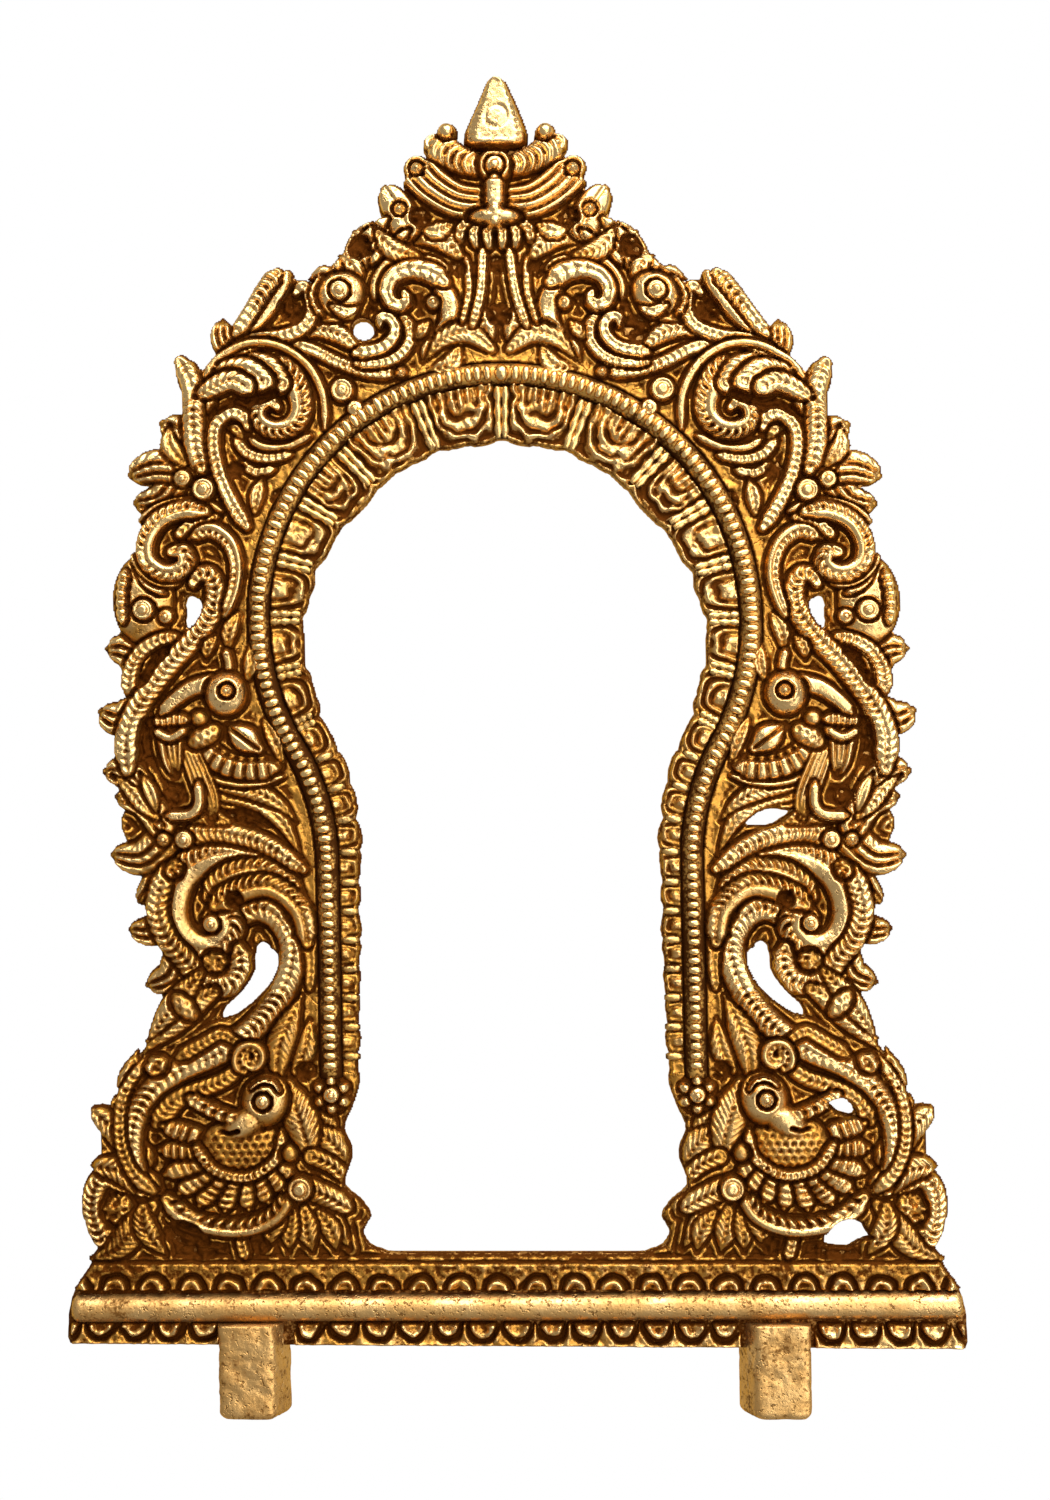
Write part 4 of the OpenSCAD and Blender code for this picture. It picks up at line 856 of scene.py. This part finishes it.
def put(name, co, quads, tris, slot, nodes, masks, flat=0):
    """Mesh from whole arrays of points in mm, four-sided and three-sided faces; the last flat faces are
    unsmoothed."""
    mesh = bpy.data.meshes.new(name)
    quads, tris = np.asarray(quads, np.int32).reshape(-1, 4), np.asarray(tris, np.int32).reshape(-1, 3)
    count = np.concatenate([np.full(len(tris), 3), np.full(len(quads), 4)]).astype(np.int32)
    mesh.vertices.add(len(co))
    mesh.vertices.foreach_set("co", (np.asarray(co, np.float32) * MM).ravel())
    mesh.loops.add(int(count.sum()))
    mesh.loops.foreach_set("vertex_index", np.concatenate([tris.ravel(), quads.ravel()]))
    mesh.polygons.add(len(count))
    mesh.polygons.foreach_set("loop_start", np.concatenate([[0], np.cumsum(count)[:-1]]).astype(np.int32))
    mesh.polygons.foreach_set("loop_total", count)
    mesh.update(calc_edges=True)
    smooth = np.ones(len(count), bool)
    if flat:
        smooth[-flat:] = False
    mesh.polygons.foreach_set("use_smooth", smooth)
    x, y, z = np.asarray(co).T
    # wear here is painted light and shade by height and side: added to the raised mask, taken from the crevice
    # mask at 0.6 of it
    wear = (np.interp(z, PAINTED_LIGHT_Z, PAINTED_LIGHT) + PAINTED_LIGHT_SIDE * x) * np.interp(y, [0, PLATE_T], [1, PAINTED_LIGHT_BACK])
    for key, by in (("raised", 1.0), ("crevice", -0.6)):
        values = np.asarray(masks[key] + by * wear, np.float32)
        mesh.attributes.new(key, "FLOAT", "POINT").data.foreach_set("value", values)
    mesh.validate()
    piece = bpy.data.objects.new(name, mesh)
    bpy.context.scene.collection.objects.link(piece)
    piece.data.materials.append(finish[slot])
    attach(piece, "root")
    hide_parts(*nodes)
    return piece


def corner_count(keep):
    """How many of the kept cells meet at each corner of the grid."""
    rows, cols = keep.shape
    count = np.zeros((rows + 1, cols + 1), int)
    for dj in (0, 1):
        for di in (0, 1):
            count[dj:dj + rows, di:di + cols] += keep
    return count


def slab(name, x, z, front, back, keep, slot, nodes, masks, outward=None):
    """Closed piece over the kept cells of a grid: a front sheet, a back sheet, and walls where a cell has no
    neighbour. front and back give the two heights at the corners, along the depth. Where the outward directions
    are given, the walls swell in the middle and draw in towards the back. A cell that meets the rest at one
    corner alone is dropped."""
    keep = keep.copy()
    for way in (1, -1, 1, -1):
        k = keep[:, ::way]
        k[:-1, :-1] &= ~(k[1:, 1:] & ~k[:-1, 1:] & ~k[1:, :-1])
    used = corner_count(keep) > 0
    n = int(used.sum())
    index = np.full(x.shape, -1)
    index[used] = np.arange(n)
    ox, oz = (x * 0, z * 0) if outward is None else outward
    depth = (front, back, front + WALL_MIDDLE * (back - front))
    rows = [at((x + by * ox)[used], (z + by * oz)[used]) for by in (0, -EDGE_ROUND, WALL_SWELL * EDGE_ROUND)]
    co = [np.stack([px, y[used], pz], 1) for (px, pz), y in zip(rows, depth)]
    a, b, c, d = index[:-1, :-1], index[:-1, 1:], index[1:, 1:], index[1:, :-1]
    top = np.stack([a[keep], b[keep], c[keep], d[keep]], 1)
    pad = np.pad(keep, 1)
    below, right, above, left = pad[:-2, 1:-1], pad[1:-1, 2:], pad[2:, 1:-1], pad[1:-1, :-2]
    walls = []
    for near, p, q in ((below, a, b), (right, b, c), (above, c, d), (left, d, a)):
        edge = keep & ~near
        walls.append(np.stack([q[edge], p[edge], p[edge] + n, q[edge] + n], 1))
    walls = np.vstack(walls)
    under = top[:, ::-1] + n
    if outward is None:
        flat = np.vstack([walls, under])
        masks = {key: np.tile(v[used], 2) for key, v in masks.items()}
        return put(name, np.vstack(co[:2]), np.vstack([top, flat]), [], slot, nodes, masks, len(flat))
    ring = np.unique(walls[:, :2])
    middle = np.zeros(n, int)
    middle[ring] = 2 * n + np.arange(len(ring))
    q, p = walls[:, 0], walls[:, 1]
    walls = np.vstack([np.stack([q, p, middle[p], middle[q]], 1),
                       np.stack([middle[q], middle[p], p + n, q + n], 1)])
    masks = {key: np.concatenate([v[used], np.full(n + len(ring), BACK_TONE[key])]) for key, v in masks.items()}
    co, quads = np.vstack([co[0], co[1], co[2][ring]]), np.vstack([top, walls, under])
    return put(name, co, quads, [], slot, nodes, masks)


def relief_piece(name, mine, slot, dull=0.0):
    """One ornament of the relief, standing on the plate: height above the ground over its own cells of the
    grid. dull darkens the whole of it as painted shade, on the recessed lotus ledge and the friezes at the
    foot."""
    keep = (mine & (high > LOW + 0.12))[:-1, :-1]
    rows, cols = np.flatnonzero(keep.any(1)), np.flatnonzero(keep.any(0))
    j0, j1, i0, i1 = rows[0], rows[-1] + 1, cols[0], cols[-1] + 1
    cut, keep = np.s_[j0:j1 + 1, i0:i1 + 1], keep[j0:j1, i0:i1]
    h, x, z, bare = high[cut], PLAN_X[cut], PLAN_Z[cut], plain[cut]
    fine = skin(x, z, 0.6, 31)
    front = -(h + (0.06 + 0.12 * bare) * fine + 0.08 * skin(x, z, 1.7, 32))
    deep = (shade[cut] - h) / 0.9 + 0.9 * moat[cut] + 0.7 * np.clip(1.05 - h, 0, 1) * (1 - bare)
    deep = (deep - (0.26 + 0.5 * fine) * bare + dull) * (0.4 + 0.6 * inner[cut])
    raised = (h - wide[cut]) / 1.6 + 0.12 * bare - dull
    masks = {"crevice": np.clip(deep, -1, 1), "raised": np.clip(raised, -1, 1)}
    return slab(name, x, z, front, np.full(h.shape, ROOT), keep, slot, [name], masks)


def loft(rings):
    """Skin over closed rings, ends closed by fans: rings is an array of ring, point and place."""
    m, n = rings.shape[:2]
    co = np.vstack([rings.reshape(-1, 3), rings[0].mean(0), rings[-1].mean(0)])
    i, j = np.meshgrid(np.arange(m - 1), np.arange(n), indexing="ij")
    k = (j + 1) % n
    quads = np.stack([i * n + j, i * n + k, (i + 1) * n + k, (i + 1) * n + j], -1).reshape(-1, 4)
    r = np.arange(n)
    s = (r + 1) % n
    tris = np.vstack([np.stack([np.full(n, m * n), s, r], 1),
                      np.stack([np.full(n, m * n + 1), (m - 1) * n + r, (m - 1) * n + s], 1)])
    return co, quads, tris


def joined(meshes):
    """One mesh of several, each of points, quads and tris."""
    start = np.cumsum([0] + [len(co) for co, _, _ in meshes])
    co = np.vstack([c for c, _, _ in meshes])
    quads = np.vstack([q + k for k, (_, q, _) in zip(start, meshes)])
    tris = np.vstack([t + k for k, (_, _, t) in zip(start, meshes)])
    return co, quads, tris


# Finishes

def link(tree, a, b):
    tree.links.new(a, b)


def brass_group():
    """Worn brass: bright on the raised places, amber between, dark in the crevices, with casting grain."""
    g = bpy.data.node_groups.new("worn brass", "ShaderNodeTree")
    for way, kind, names in (("INPUT", "Color", ("Bright", "Amber", "Dark")),
                             ("INPUT", "Float", ("Crevice", "Raised", "Grime", "Polish", "Pitting")),
                             ("OUTPUT", "Color", ("Color",)),
                             ("OUTPUT", "Float", ("Roughness", "Metallic", "Height"))):
        for name in names:
            g.interface.new_socket(name, in_out=way, socket_type="NodeSocket" + kind)
    n, given, out = g.nodes, g.nodes.new("NodeGroupInput").outputs, g.nodes.new("NodeGroupOutput").inputs
    place = n.new("ShaderNodeTexCoord")

    def noise(scale, detail, rough=0.55):
        t = n.new("ShaderNodeTexNoise")
        for key, value in (("Scale", scale), ("Detail", detail), ("Roughness", rough)):
            t.inputs[key].default_value = value
        link(g, place.outputs["Object"], t.inputs["Vector"])
        return t.outputs["Fac"]

    def calc(op, a, b, clamp=False):
        t = n.new("ShaderNodeMath")
        t.operation, t.use_clamp = op, clamp
        for socket, v in zip(t.inputs, (a, b)):
            if isinstance(v, (int, float)):
                socket.default_value = v
            else:
                link(g, v, socket)
        return t.outputs[0]

    def add(a, b, clamp=False):
        return calc("ADD", a, b, clamp)

    def take(a, b):
        return calc("SUBTRACT", a, b)

    def times(a, b):
        return calc("MULTIPLY", a, b)

    def ramp(fac, lo, hi):
        t = n.new("ShaderNodeMapRange")
        t.interpolation_type = "SMOOTHSTEP"
        t.inputs["From Min"].default_value, t.inputs["From Max"].default_value = lo, hi
        link(g, fac, t.inputs["Value"])
        return t.outputs["Result"]

    def mix(fac, a, b):
        t = n.new("ShaderNodeMix")
        t.data_type = "RGBA"
        link(g, fac, t.inputs["Factor"])
        link(g, a, t.inputs[6])
        link(g, b, t.inputs[7])
        return t.outputs[2]

    def swing(t, by):
        """Noise about its middle."""
        return times(take(t, 0.5), by)

    fine, mid, broad = noise(1900, 3), noise(520, 4, 0.6), noise(38, 2)
    holes = times(ramp(noise(1150, 2, 0.7), 0.56, 0.7), given["Pitting"])
    deep = add(add(add(given["Crevice"], swing(mid, 1.1)), swing(broad, 0.7)), swing(fine, 1.2))
    dirt = ramp(add(deep, take(given["Grime"], 0.5)), -0.02, 0.46)
    rubbed = ramp(add(given["Raised"], swing(mid, 0.8)), -0.1, 0.75)
    colour = mix(rubbed, given["Amber"], given["Bright"])
    colour = mix(holes, colour, given["Dark"])
    link(g, mix(dirt, colour, given["Dark"]), out["Color"])
    dull = add(take(0.52, times(add(rubbed, given["Polish"]), 0.17)), times(dirt, 0.35))
    link(g, add(dull, swing(fine, 0.25), True), out["Roughness"])
    link(g, take(1.0, times(dirt, 0.15)), out["Metallic"])
    bump = add(times(fine, 0.35), times(mid, 0.65))
    link(g, take(bump, times(holes, 0.7)), out["Height"])
    return g


BRASS = brass_group()


def brass(name, bright, amber, dark, grime, polish, pitting, bump):
    """One finish of the cast brass; the crevice and raised masks come with each piece."""
    m = bpy.data.materials.new(name)
    m.use_nodes = True
    t = m.node_tree
    shader = t.nodes["Principled BSDF"]
    g = t.nodes.new("ShaderNodeGroup")
    g.node_tree = BRASS
    for key, value in (("Bright", bright), ("Amber", amber), ("Dark", dark)):
        g.inputs[key].default_value = (*value, 1)
    for key, value in (("Grime", grime), ("Polish", polish), ("Pitting", pitting)):
        g.inputs[key].default_value = value
    for key, mask in (("Crevice", "crevice"), ("Raised", "raised")):
        a = t.nodes.new("ShaderNodeAttribute")
        a.attribute_name = mask
        link(t, a.outputs["Fac"], g.inputs[key])
    rough = t.nodes.new("ShaderNodeBump")
    rough.inputs["Strength"].default_value = bump
    rough.inputs["Distance"].default_value = 0.0003
    link(t, g.outputs["Height"], rough.inputs["Height"])
    shader.inputs["Specular Tint"].default_value = (0.8, 0.5, 0.2, 1)
    for key, socket in (("Color", "Base Color"), ("Roughness", "Roughness"), ("Metallic", "Metallic")):
        link(t, g.outputs[key], shader.inputs[socket])
    link(t, rough.outputs["Normal"], shader.inputs["Normal"])
    return m


EARTH = (0.092, 0.024, 0.002)
finish = {
    "ground": brass("ground brass", bright=(0.60, 0.36, 0.11), amber=(0.42, 0.21, 0.055), dark=EARTH,
                    grime=0.5, polish=0.2, pitting=0.9, bump=0.6),
    "relief": brass("relief brass", bright=(0.75, 0.49, 0.20), amber=(0.45, 0.21, 0.035), dark=EARTH,
                    grime=0.5, polish=0.7, pitting=0.6, bump=0.5),
    "polished": brass("polished brass", bright=(0.78, 0.51, 0.20), amber=(0.60, 0.325, 0.075),
                      dark=(0.06, 0.018, 0.003), grime=0.42, polish=0.8, pitting=0.3, bump=0.25),
    "raw": brass("raw brass", bright=(0.70, 0.44, 0.175), amber=(0.56, 0.32, 0.105), dark=(0.20, 0.09, 0.02),
                 grime=0.4, polish=0.15, pitting=0.8, bump=0.7),
}


# Relief pieces, plate, moulding, beads, bars, rail and tenons

def cell(x, z):
    """Row and column of the relief grid nearest to each place."""
    i = np.clip(np.round((x - XS[0]) / GRID).astype(int), 0, len(XS) - 1)
    j = np.clip(np.round((z - ZS[0]) / GRID).astype(int), 0, len(ZS) - 1)
    return j, i


def plate():
    """Plate behind the relief: a slab over the solid places, its outline drawn onto one level of a blur."""
    thin = np.s_[::PLATE_STEP, ::PLATE_STEP]
    fill = np.maximum(blur(solid.astype(float), 0.38), 0)
    x, z = PLAN_X[thin].copy(), PLAN_Z[thin].copy()
    full = fill[thin] > PLATE_EDGE
    keep = full[:-1, :-1].astype(int) + full[1:, :-1] + full[:-1, 1:] + full[1:, 1:] >= 3
    gz, gx = np.gradient(fill, GRID)
    count = corner_count(keep)
    edge = (count > 0) & (count < 4)
    for _ in range(6):
        here = cell(x[edge], z[edge])
        slope = np.maximum(gx[here] ** 2 + gz[here] ** 2, 0.05)
        pull = np.clip((PLATE_EDGE - fill[here]) / slope, -0.6, 0.6) * 0.6
        x[edge] += np.clip(pull * gx[here], -0.25, 0.25)
        z[edge] += np.clip(pull * gz[here], -0.25, 0.25)
    front = 0.18 + 0.35 * skin(x, z, 2.2, 41) + 0.3 * skin(x, z, 0.9, 42)
    front = np.where(edge, 0.12, np.clip(front, 0.02, ROOT))
    back = np.minimum(PLATE_T - 0.12 + 0.2 * skin(x, z, 9.0, 43) + 0.08 * skin(x, z, 1.4, 44), PLATE_T)
    near = blur((moulding_top > 0).astype(float), 2.4)[thin]
    masks = {"crevice": np.clip(shade[thin] / 1.6 - 0.5 * near, -1, 1) * inner[thin] + 0.1,
             "raised": -wide[thin] / 3 + 0.5 * near}
    here = cell(x, z)
    steep = np.maximum(np.hypot(gx[here], gz[here]), 0.05)
    outward = np.where(edge, -gx[here] / steep, 0), np.where(edge, -gz[here] / steep, 0)
    slab("back_plate", x, z, front, back, keep, "ground", ["back_plate"], masks, outward)


def moulding():
    """Half-round-edged moulding carried along the bead path and across its top to the other side."""
    u = np.linspace(-ROW_L - 0.6, ROW_L + 0.6, 361)
    p, n = bead_path(np.abs(u))
    sign = np.where(u < 0, -1.0, 1.0)[:, None]
    v = np.linspace(-1, 1, 15)
    across = np.concatenate([v * MOULDING_W / 2, [MOULDING_W / 2, -MOULDING_W / 2]])
    up = np.concatenate([MOULDING_H * (1 - np.abs(v) ** 2.6) ** 0.5, [-0.6, -0.6]])
    px, pz = at(sign * (p[:, :1] + n[:, :1] * across), p[:, 1:] + n[:, 1:] * across)
    rings = np.stack([px, np.broadcast_to(-up, px.shape), pz], -1)
    co, quads, tris = loft(rings[::-1])

    def mask(crown, foot):
        return np.concatenate([np.tile(np.append(crown, [foot, foot]), len(u)), [0, 0]])

    masks = {"crevice": mask(0.35 + 0.5 * np.abs(v) ** 5, 1), "raised": mask(-0.35 - 0.4 * np.abs(v) ** 3, -1)}
    put("bead_moulding", co, quads, tris, "polished", ["bead_moulding"], masks)


def turned(centre, way, length, profile, lift, n=8):
    """Many turned bodies at once: for each, a profile of radius carried along its axis and spun about it.
    profile holds rows of share along the axis and radius."""
    a = np.arange(n) * 2 * np.pi / n
    t, r = profile[None, :, :1], profile[None, :, 1:]
    side = np.stack([-way[:, 1], way[:, 0]], 1)
    axis = centre[:, None, None, :] + way[:, None, None, :] * ((t - 0.5) * length[:, None, None])[..., None]
    plan = axis + side[:, None, None, :] * (r * np.cos(a))[..., None]
    depth = np.broadcast_to(-lift - r * np.sin(a), plan.shape[:-1])
    px, pz = at(plan[..., 0], plan[..., 1])
    return joined([loft(rings) for rings in np.stack([px, depth, pz], -1)])


def beads():
    """Barrel beads across the moulding, each a little different, with a round one at the top."""
    u = np.arange(1.5 * BEAD_PITCH, ROW_L - 1, BEAD_PITCH)
    u = u + rng.uniform(-0.06, 0.06, len(u))
    p, n = bead_path(u)
    centre, way = np.vstack([p, p * FLIP]), np.vstack([n, n * FLIP])
    way = way + rng.uniform(-0.06, 0.06, way.shape)
    smaller = np.tile(np.interp(u, [MAIN_L * 0.6, MAIN_L + LEAD_L], [1, 0.84]), 2)
    length = BEAD_LEN * rng.uniform(0.9, 1.05, len(centre)) * smaller
    barrel = np.array([(0, 0.3), (0.1, 0.54), (0.3, 0.68), (0.5, 0.71), (0.7, 0.68), (0.9, 0.54), (1, 0.3)])
    ball = np.array([(0, 0.5), (0.2, 1.05), (0.5, 1.35), (0.8, 1.05), (1, 0.5)])
    top, up = bead_path(np.array([0.0]))
    co, quads, tris = joined([turned(centre, way, length, barrel, MOULDING_H + 0.1),
                              turned(top, up, np.array([2.9]), ball, MOULDING_H - 0.3, 14)])
    raised = np.clip((-co[:, 1] - MOULDING_H) / 0.9 + 0.1, -0.6, 1)
    masks = {"raised": raised, "crevice": 0.35 - raised * 0.9}
    put("bead_row", co, quads, tris, "polished", ["bead_row"], masks)


def bars():
    """Turned bars in pairs between the petals, with three swellings, and shorter plain ones along the legs."""
    swellings = [((i + t) / 3, r) for i in range(3) for t, r in ((0.12, 0.55), (0.5, 0.82), (0.88, 0.55))]
    long_bar = np.array([(0.0, 0.55), *swellings, (1.0, 0.55)])
    short_bar = np.array([(0.0, 0.4), (0.2, 0.7), (0.5, 0.8), (0.8, 0.7), (1.0, 0.4)])
    pairs = np.concatenate([BARS - BAR_APART, BARS + BAR_APART])[1:]
    meshes = []
    for u, profile in ((pairs, long_bar), (LEG_BARS, short_bar)):
        top, foot = inside(u, np.full(len(u), MOULDING_W / 2 + 0.1)), inside(u, ledge(u) - 0.25)
        length = np.hypot(*(foot - top).T)
        way = (foot - top) / length[:, None]
        centre = (top + foot) / 2
        centre, way = np.vstack([centre, centre * FLIP]), np.vstack([way, way * FLIP])
        meshes.append(turned(centre, way, np.tile(length, 2), profile, 0.45, 12))
    co, quads, tris = joined(meshes)
    raised = np.clip(-co[:, 1] / 1.2 - 0.6, -0.6, 0.8)
    masks = {"raised": raised, "crevice": 0.4 - raised}
    put("petal_bars", co, quads, tris, "polished", ["petal_bars"], masks)


def rail():
    """Half-round rail along the foot, slightly uneven, as a section carried along a straight line."""
    end = FOOT_X - RAIL_END
    x = np.linspace(-end, end, 221)
    a = np.linspace(-np.pi / 2, np.pi / 2, 17)
    r = RAIL_D / 2
    swell = 1 + 0.05 * grain(x, x * 0, 6.0, 51)
    ends = np.clip((end - np.abs(x)) / RAIL_END, 0, 1) ** 0.5 * 0.35 + 0.65
    deep = np.concatenate([-r * np.cos(a), [0.6, 0.6]])
    up = np.concatenate([r * np.sin(a), [r, -r]])
    z = RAIL_Z + r + up * ends[:, None] + 0.004 * x[:, None]
    rings = np.stack([at(np.repeat(x[:, None], len(up), 1), z)[0], deep * (swell * ends)[:, None], z], -1)
    co, quads, tris = loft(rings[::-1])
    wear = 0.25 + 0.9 * skin(co[:, 0], co[:, 2], 4.0, 52)
    masks = {"raised": wear + 0.25, "crevice": -wear * 0.4 - 0.1}
    put("base_rail", co, quads, tris, "raw", ["base_rail"], masks)


def tenon(name, side):
    """Rough cast tenon: rounded box sections down its length, drawn in at the end; its inner flank slopes to
    the front."""
    t = np.linspace(0, 1, 61)
    a = np.arange(96) * 2 * np.pi / 96 + 0.01
    cs, sn = np.cos(a), np.sin(a)
    power = 9
    round_off = (np.abs(cs) ** power + np.abs(sn) ** power) ** (1 / power)
    u, v = cs / round_off, sn / round_off
    z = RAIL_Z - 0.4 - t * (TENON_L + RAIL_Z - 0.5)
    inset = (1 - 0.12 * np.clip((t - 0.93) / 0.07, 0, 1) ** 2)[:, None]
    half_w, half_t = TENON_W / 2 - 0.1, TENON_T / 2 - 0.1
    front = (1 - v) / 2
    x = u * half_w * inset + np.where(u > 0, -2.6, 0.5) * front * np.abs(u)
    y = v * half_t * inset
    rough = 0.9 * grain(x + 90 * side + 300, v * 4 + z[:, None], 2.4, 61)
    rough = np.clip(rough + 0.4 * grain(x + 3 * v + 300, z[:, None] + 0 * x, 0.8, 62), -0.1, 0.6)
    y = np.minimum(y + np.where(v < 0, 1, -1) * rough * 0.6, PLATE_T)
    x = x - u * rough * 0.4
    z = np.repeat(z[:, None], x.shape[1], 1)
    rings = np.stack([at(side * TENON_X - TENON_SHIFT[side] - side * x, z)[0], y, z], -1)
    co, quads, tris = loft(rings if side > 0 else rings[::-1])
    wear = skin(co[:, 0], co[:, 2] + 300, 2.5, 63)
    put(name, co, quads, tris, "raw", [name], {"crevice": 0.35 * wear - 0.1, "raised": 0.35 - 0.6 * wear})


# An ornament's cells reach one cell past it, so that its rim goes down into the plate
spread = passed_on(spread, True, 1)
for number, name in enumerate(HALF):
    for side, half in (("left_", PLAN_X < 0), ("right_", PLAN_X >= 0)):
        relief_piece(side + name, (spread == number) & half, "relief")
for number, name in enumerate(WHOLE, len(HALF)):
    relief_piece(name, spread == number, "relief", SHADED_PIECES.get(name, 0.0))
plate()
moulding()
beads()
bars()
rail()
tenon("left_tenon", -1)
tenon("right_tenon", 1)


# White sheet, light and camera, in metres

SHEET_Y, SHEET_SIDE, SHEET_LOW, SHEET_TOP = 0.5, 1.35, -2.2, 1.6
MIDDLE = (0, 0, 0.13)
CAMERA_AWAY, SEEN_H, SENSOR_H = 0.40, 0.255, 36


def sheet_behind():
    """White sheet well behind the casting, seen from the front only: white to the camera and in reflections,
    whatever light falls on it."""
    m = bpy.data.materials.new("white sheet")
    m.use_nodes = True
    t = m.node_tree
    t.nodes.clear()
    out = t.nodes.new("ShaderNodeOutputMaterial")
    face, ray, mirrored, seen, white, bright, clear, front, sided = (t.nodes.new("ShaderNode" + k) for k in (
        "NewGeometry", "LightPath", "Math", "Math", "BsdfDiffuse", "Emission", "BsdfTransparent", "MixShader",
        "MixShader"))
    mirrored.operation = seen.operation = "MAXIMUM"
    white.inputs["Color"].default_value = (0.93, 0.93, 0.93, 1)
    bright.inputs["Color"].default_value = (1, 1, 1, 1)
    link(t, ray.outputs["Is Camera Ray"], seen.inputs[0])
    link(t, ray.outputs["Is Glossy Ray"], mirrored.inputs[0])
    link(t, ray.outputs["Is Transmission Ray"], mirrored.inputs[1])
    link(t, mirrored.outputs[0], seen.inputs[1])
    for mix, by, first, second in ((front, seen.outputs[0], white, bright),
                                   (sided, face.outputs["Backfacing"], front, clear)):
        link(t, by, mix.inputs[0])
        link(t, first.outputs[0], mix.inputs[1])
        link(t, second.outputs[0], mix.inputs[2])
    link(t, sided.outputs[0], out.inputs["Surface"])
    mesh = bpy.data.meshes.new("white_sheet")
    corners = [(-SHEET_SIDE, SHEET_Y, SHEET_LOW), (SHEET_SIDE, SHEET_Y, SHEET_LOW),
               (SHEET_SIDE, SHEET_Y, SHEET_TOP), (-SHEET_SIDE, SHEET_Y, SHEET_TOP)]
    mesh.from_pydata(corners, [], [(0, 1, 2, 3)])
    mesh.materials.append(m)
    sheet = bpy.data.objects.new("white_sheet", mesh)
    bpy.context.scene.collection.objects.link(sheet)


def lamp(name, place, size, power):
    """Rectangular lamp that faces the middle of the arch."""
    data = bpy.data.lights.new(name, "AREA")
    data.shape, data.size, data.size_y, data.energy = "RECTANGLE", size[0], size[1], power
    o = bpy.data.objects.new(name, data)
    o.location = place
    o.rotation_euler = (Vector(MIDDLE) - Vector(place)).to_track_quat("-Z", "Y").to_euler()
    bpy.context.scene.collection.objects.link(o)


sheet_behind()
lamp("top window", (0.11, -0.34, 0.54), (0.75, 0.42), 6.4)
lamp("front fill", (0.5, -0.9, 0.15), (0.9, 0.9), 5.9)
lamp("low fill", (0.5, -0.5, -0.2), (0.5, 0.5), 1.4)

world = bpy.data.worlds.new("studio")
bpy.context.scene.world = world
world.use_nodes = True
sky = world.node_tree.nodes["Background"].inputs
sky["Color"].default_value = (1, 1, 1, 1)
sky["Strength"].default_value = 0.44

camera = bpy.data.objects.new("camera", bpy.data.cameras.new("camera"))
camera.data.sensor_fit = "VERTICAL"
camera.data.sensor_height = SENSOR_H
camera.data.lens = SENSOR_H * CAMERA_AWAY / SEEN_H
camera.location = (0.0012, -CAMERA_AWAY, 0.1006)
camera.rotation_euler = (math.pi / 2, 0, 0)
bpy.context.scene.collection.objects.link(camera)
bpy.context.scene.camera = camera
bpy.context.scene.view_settings.view_transform = "Standard"
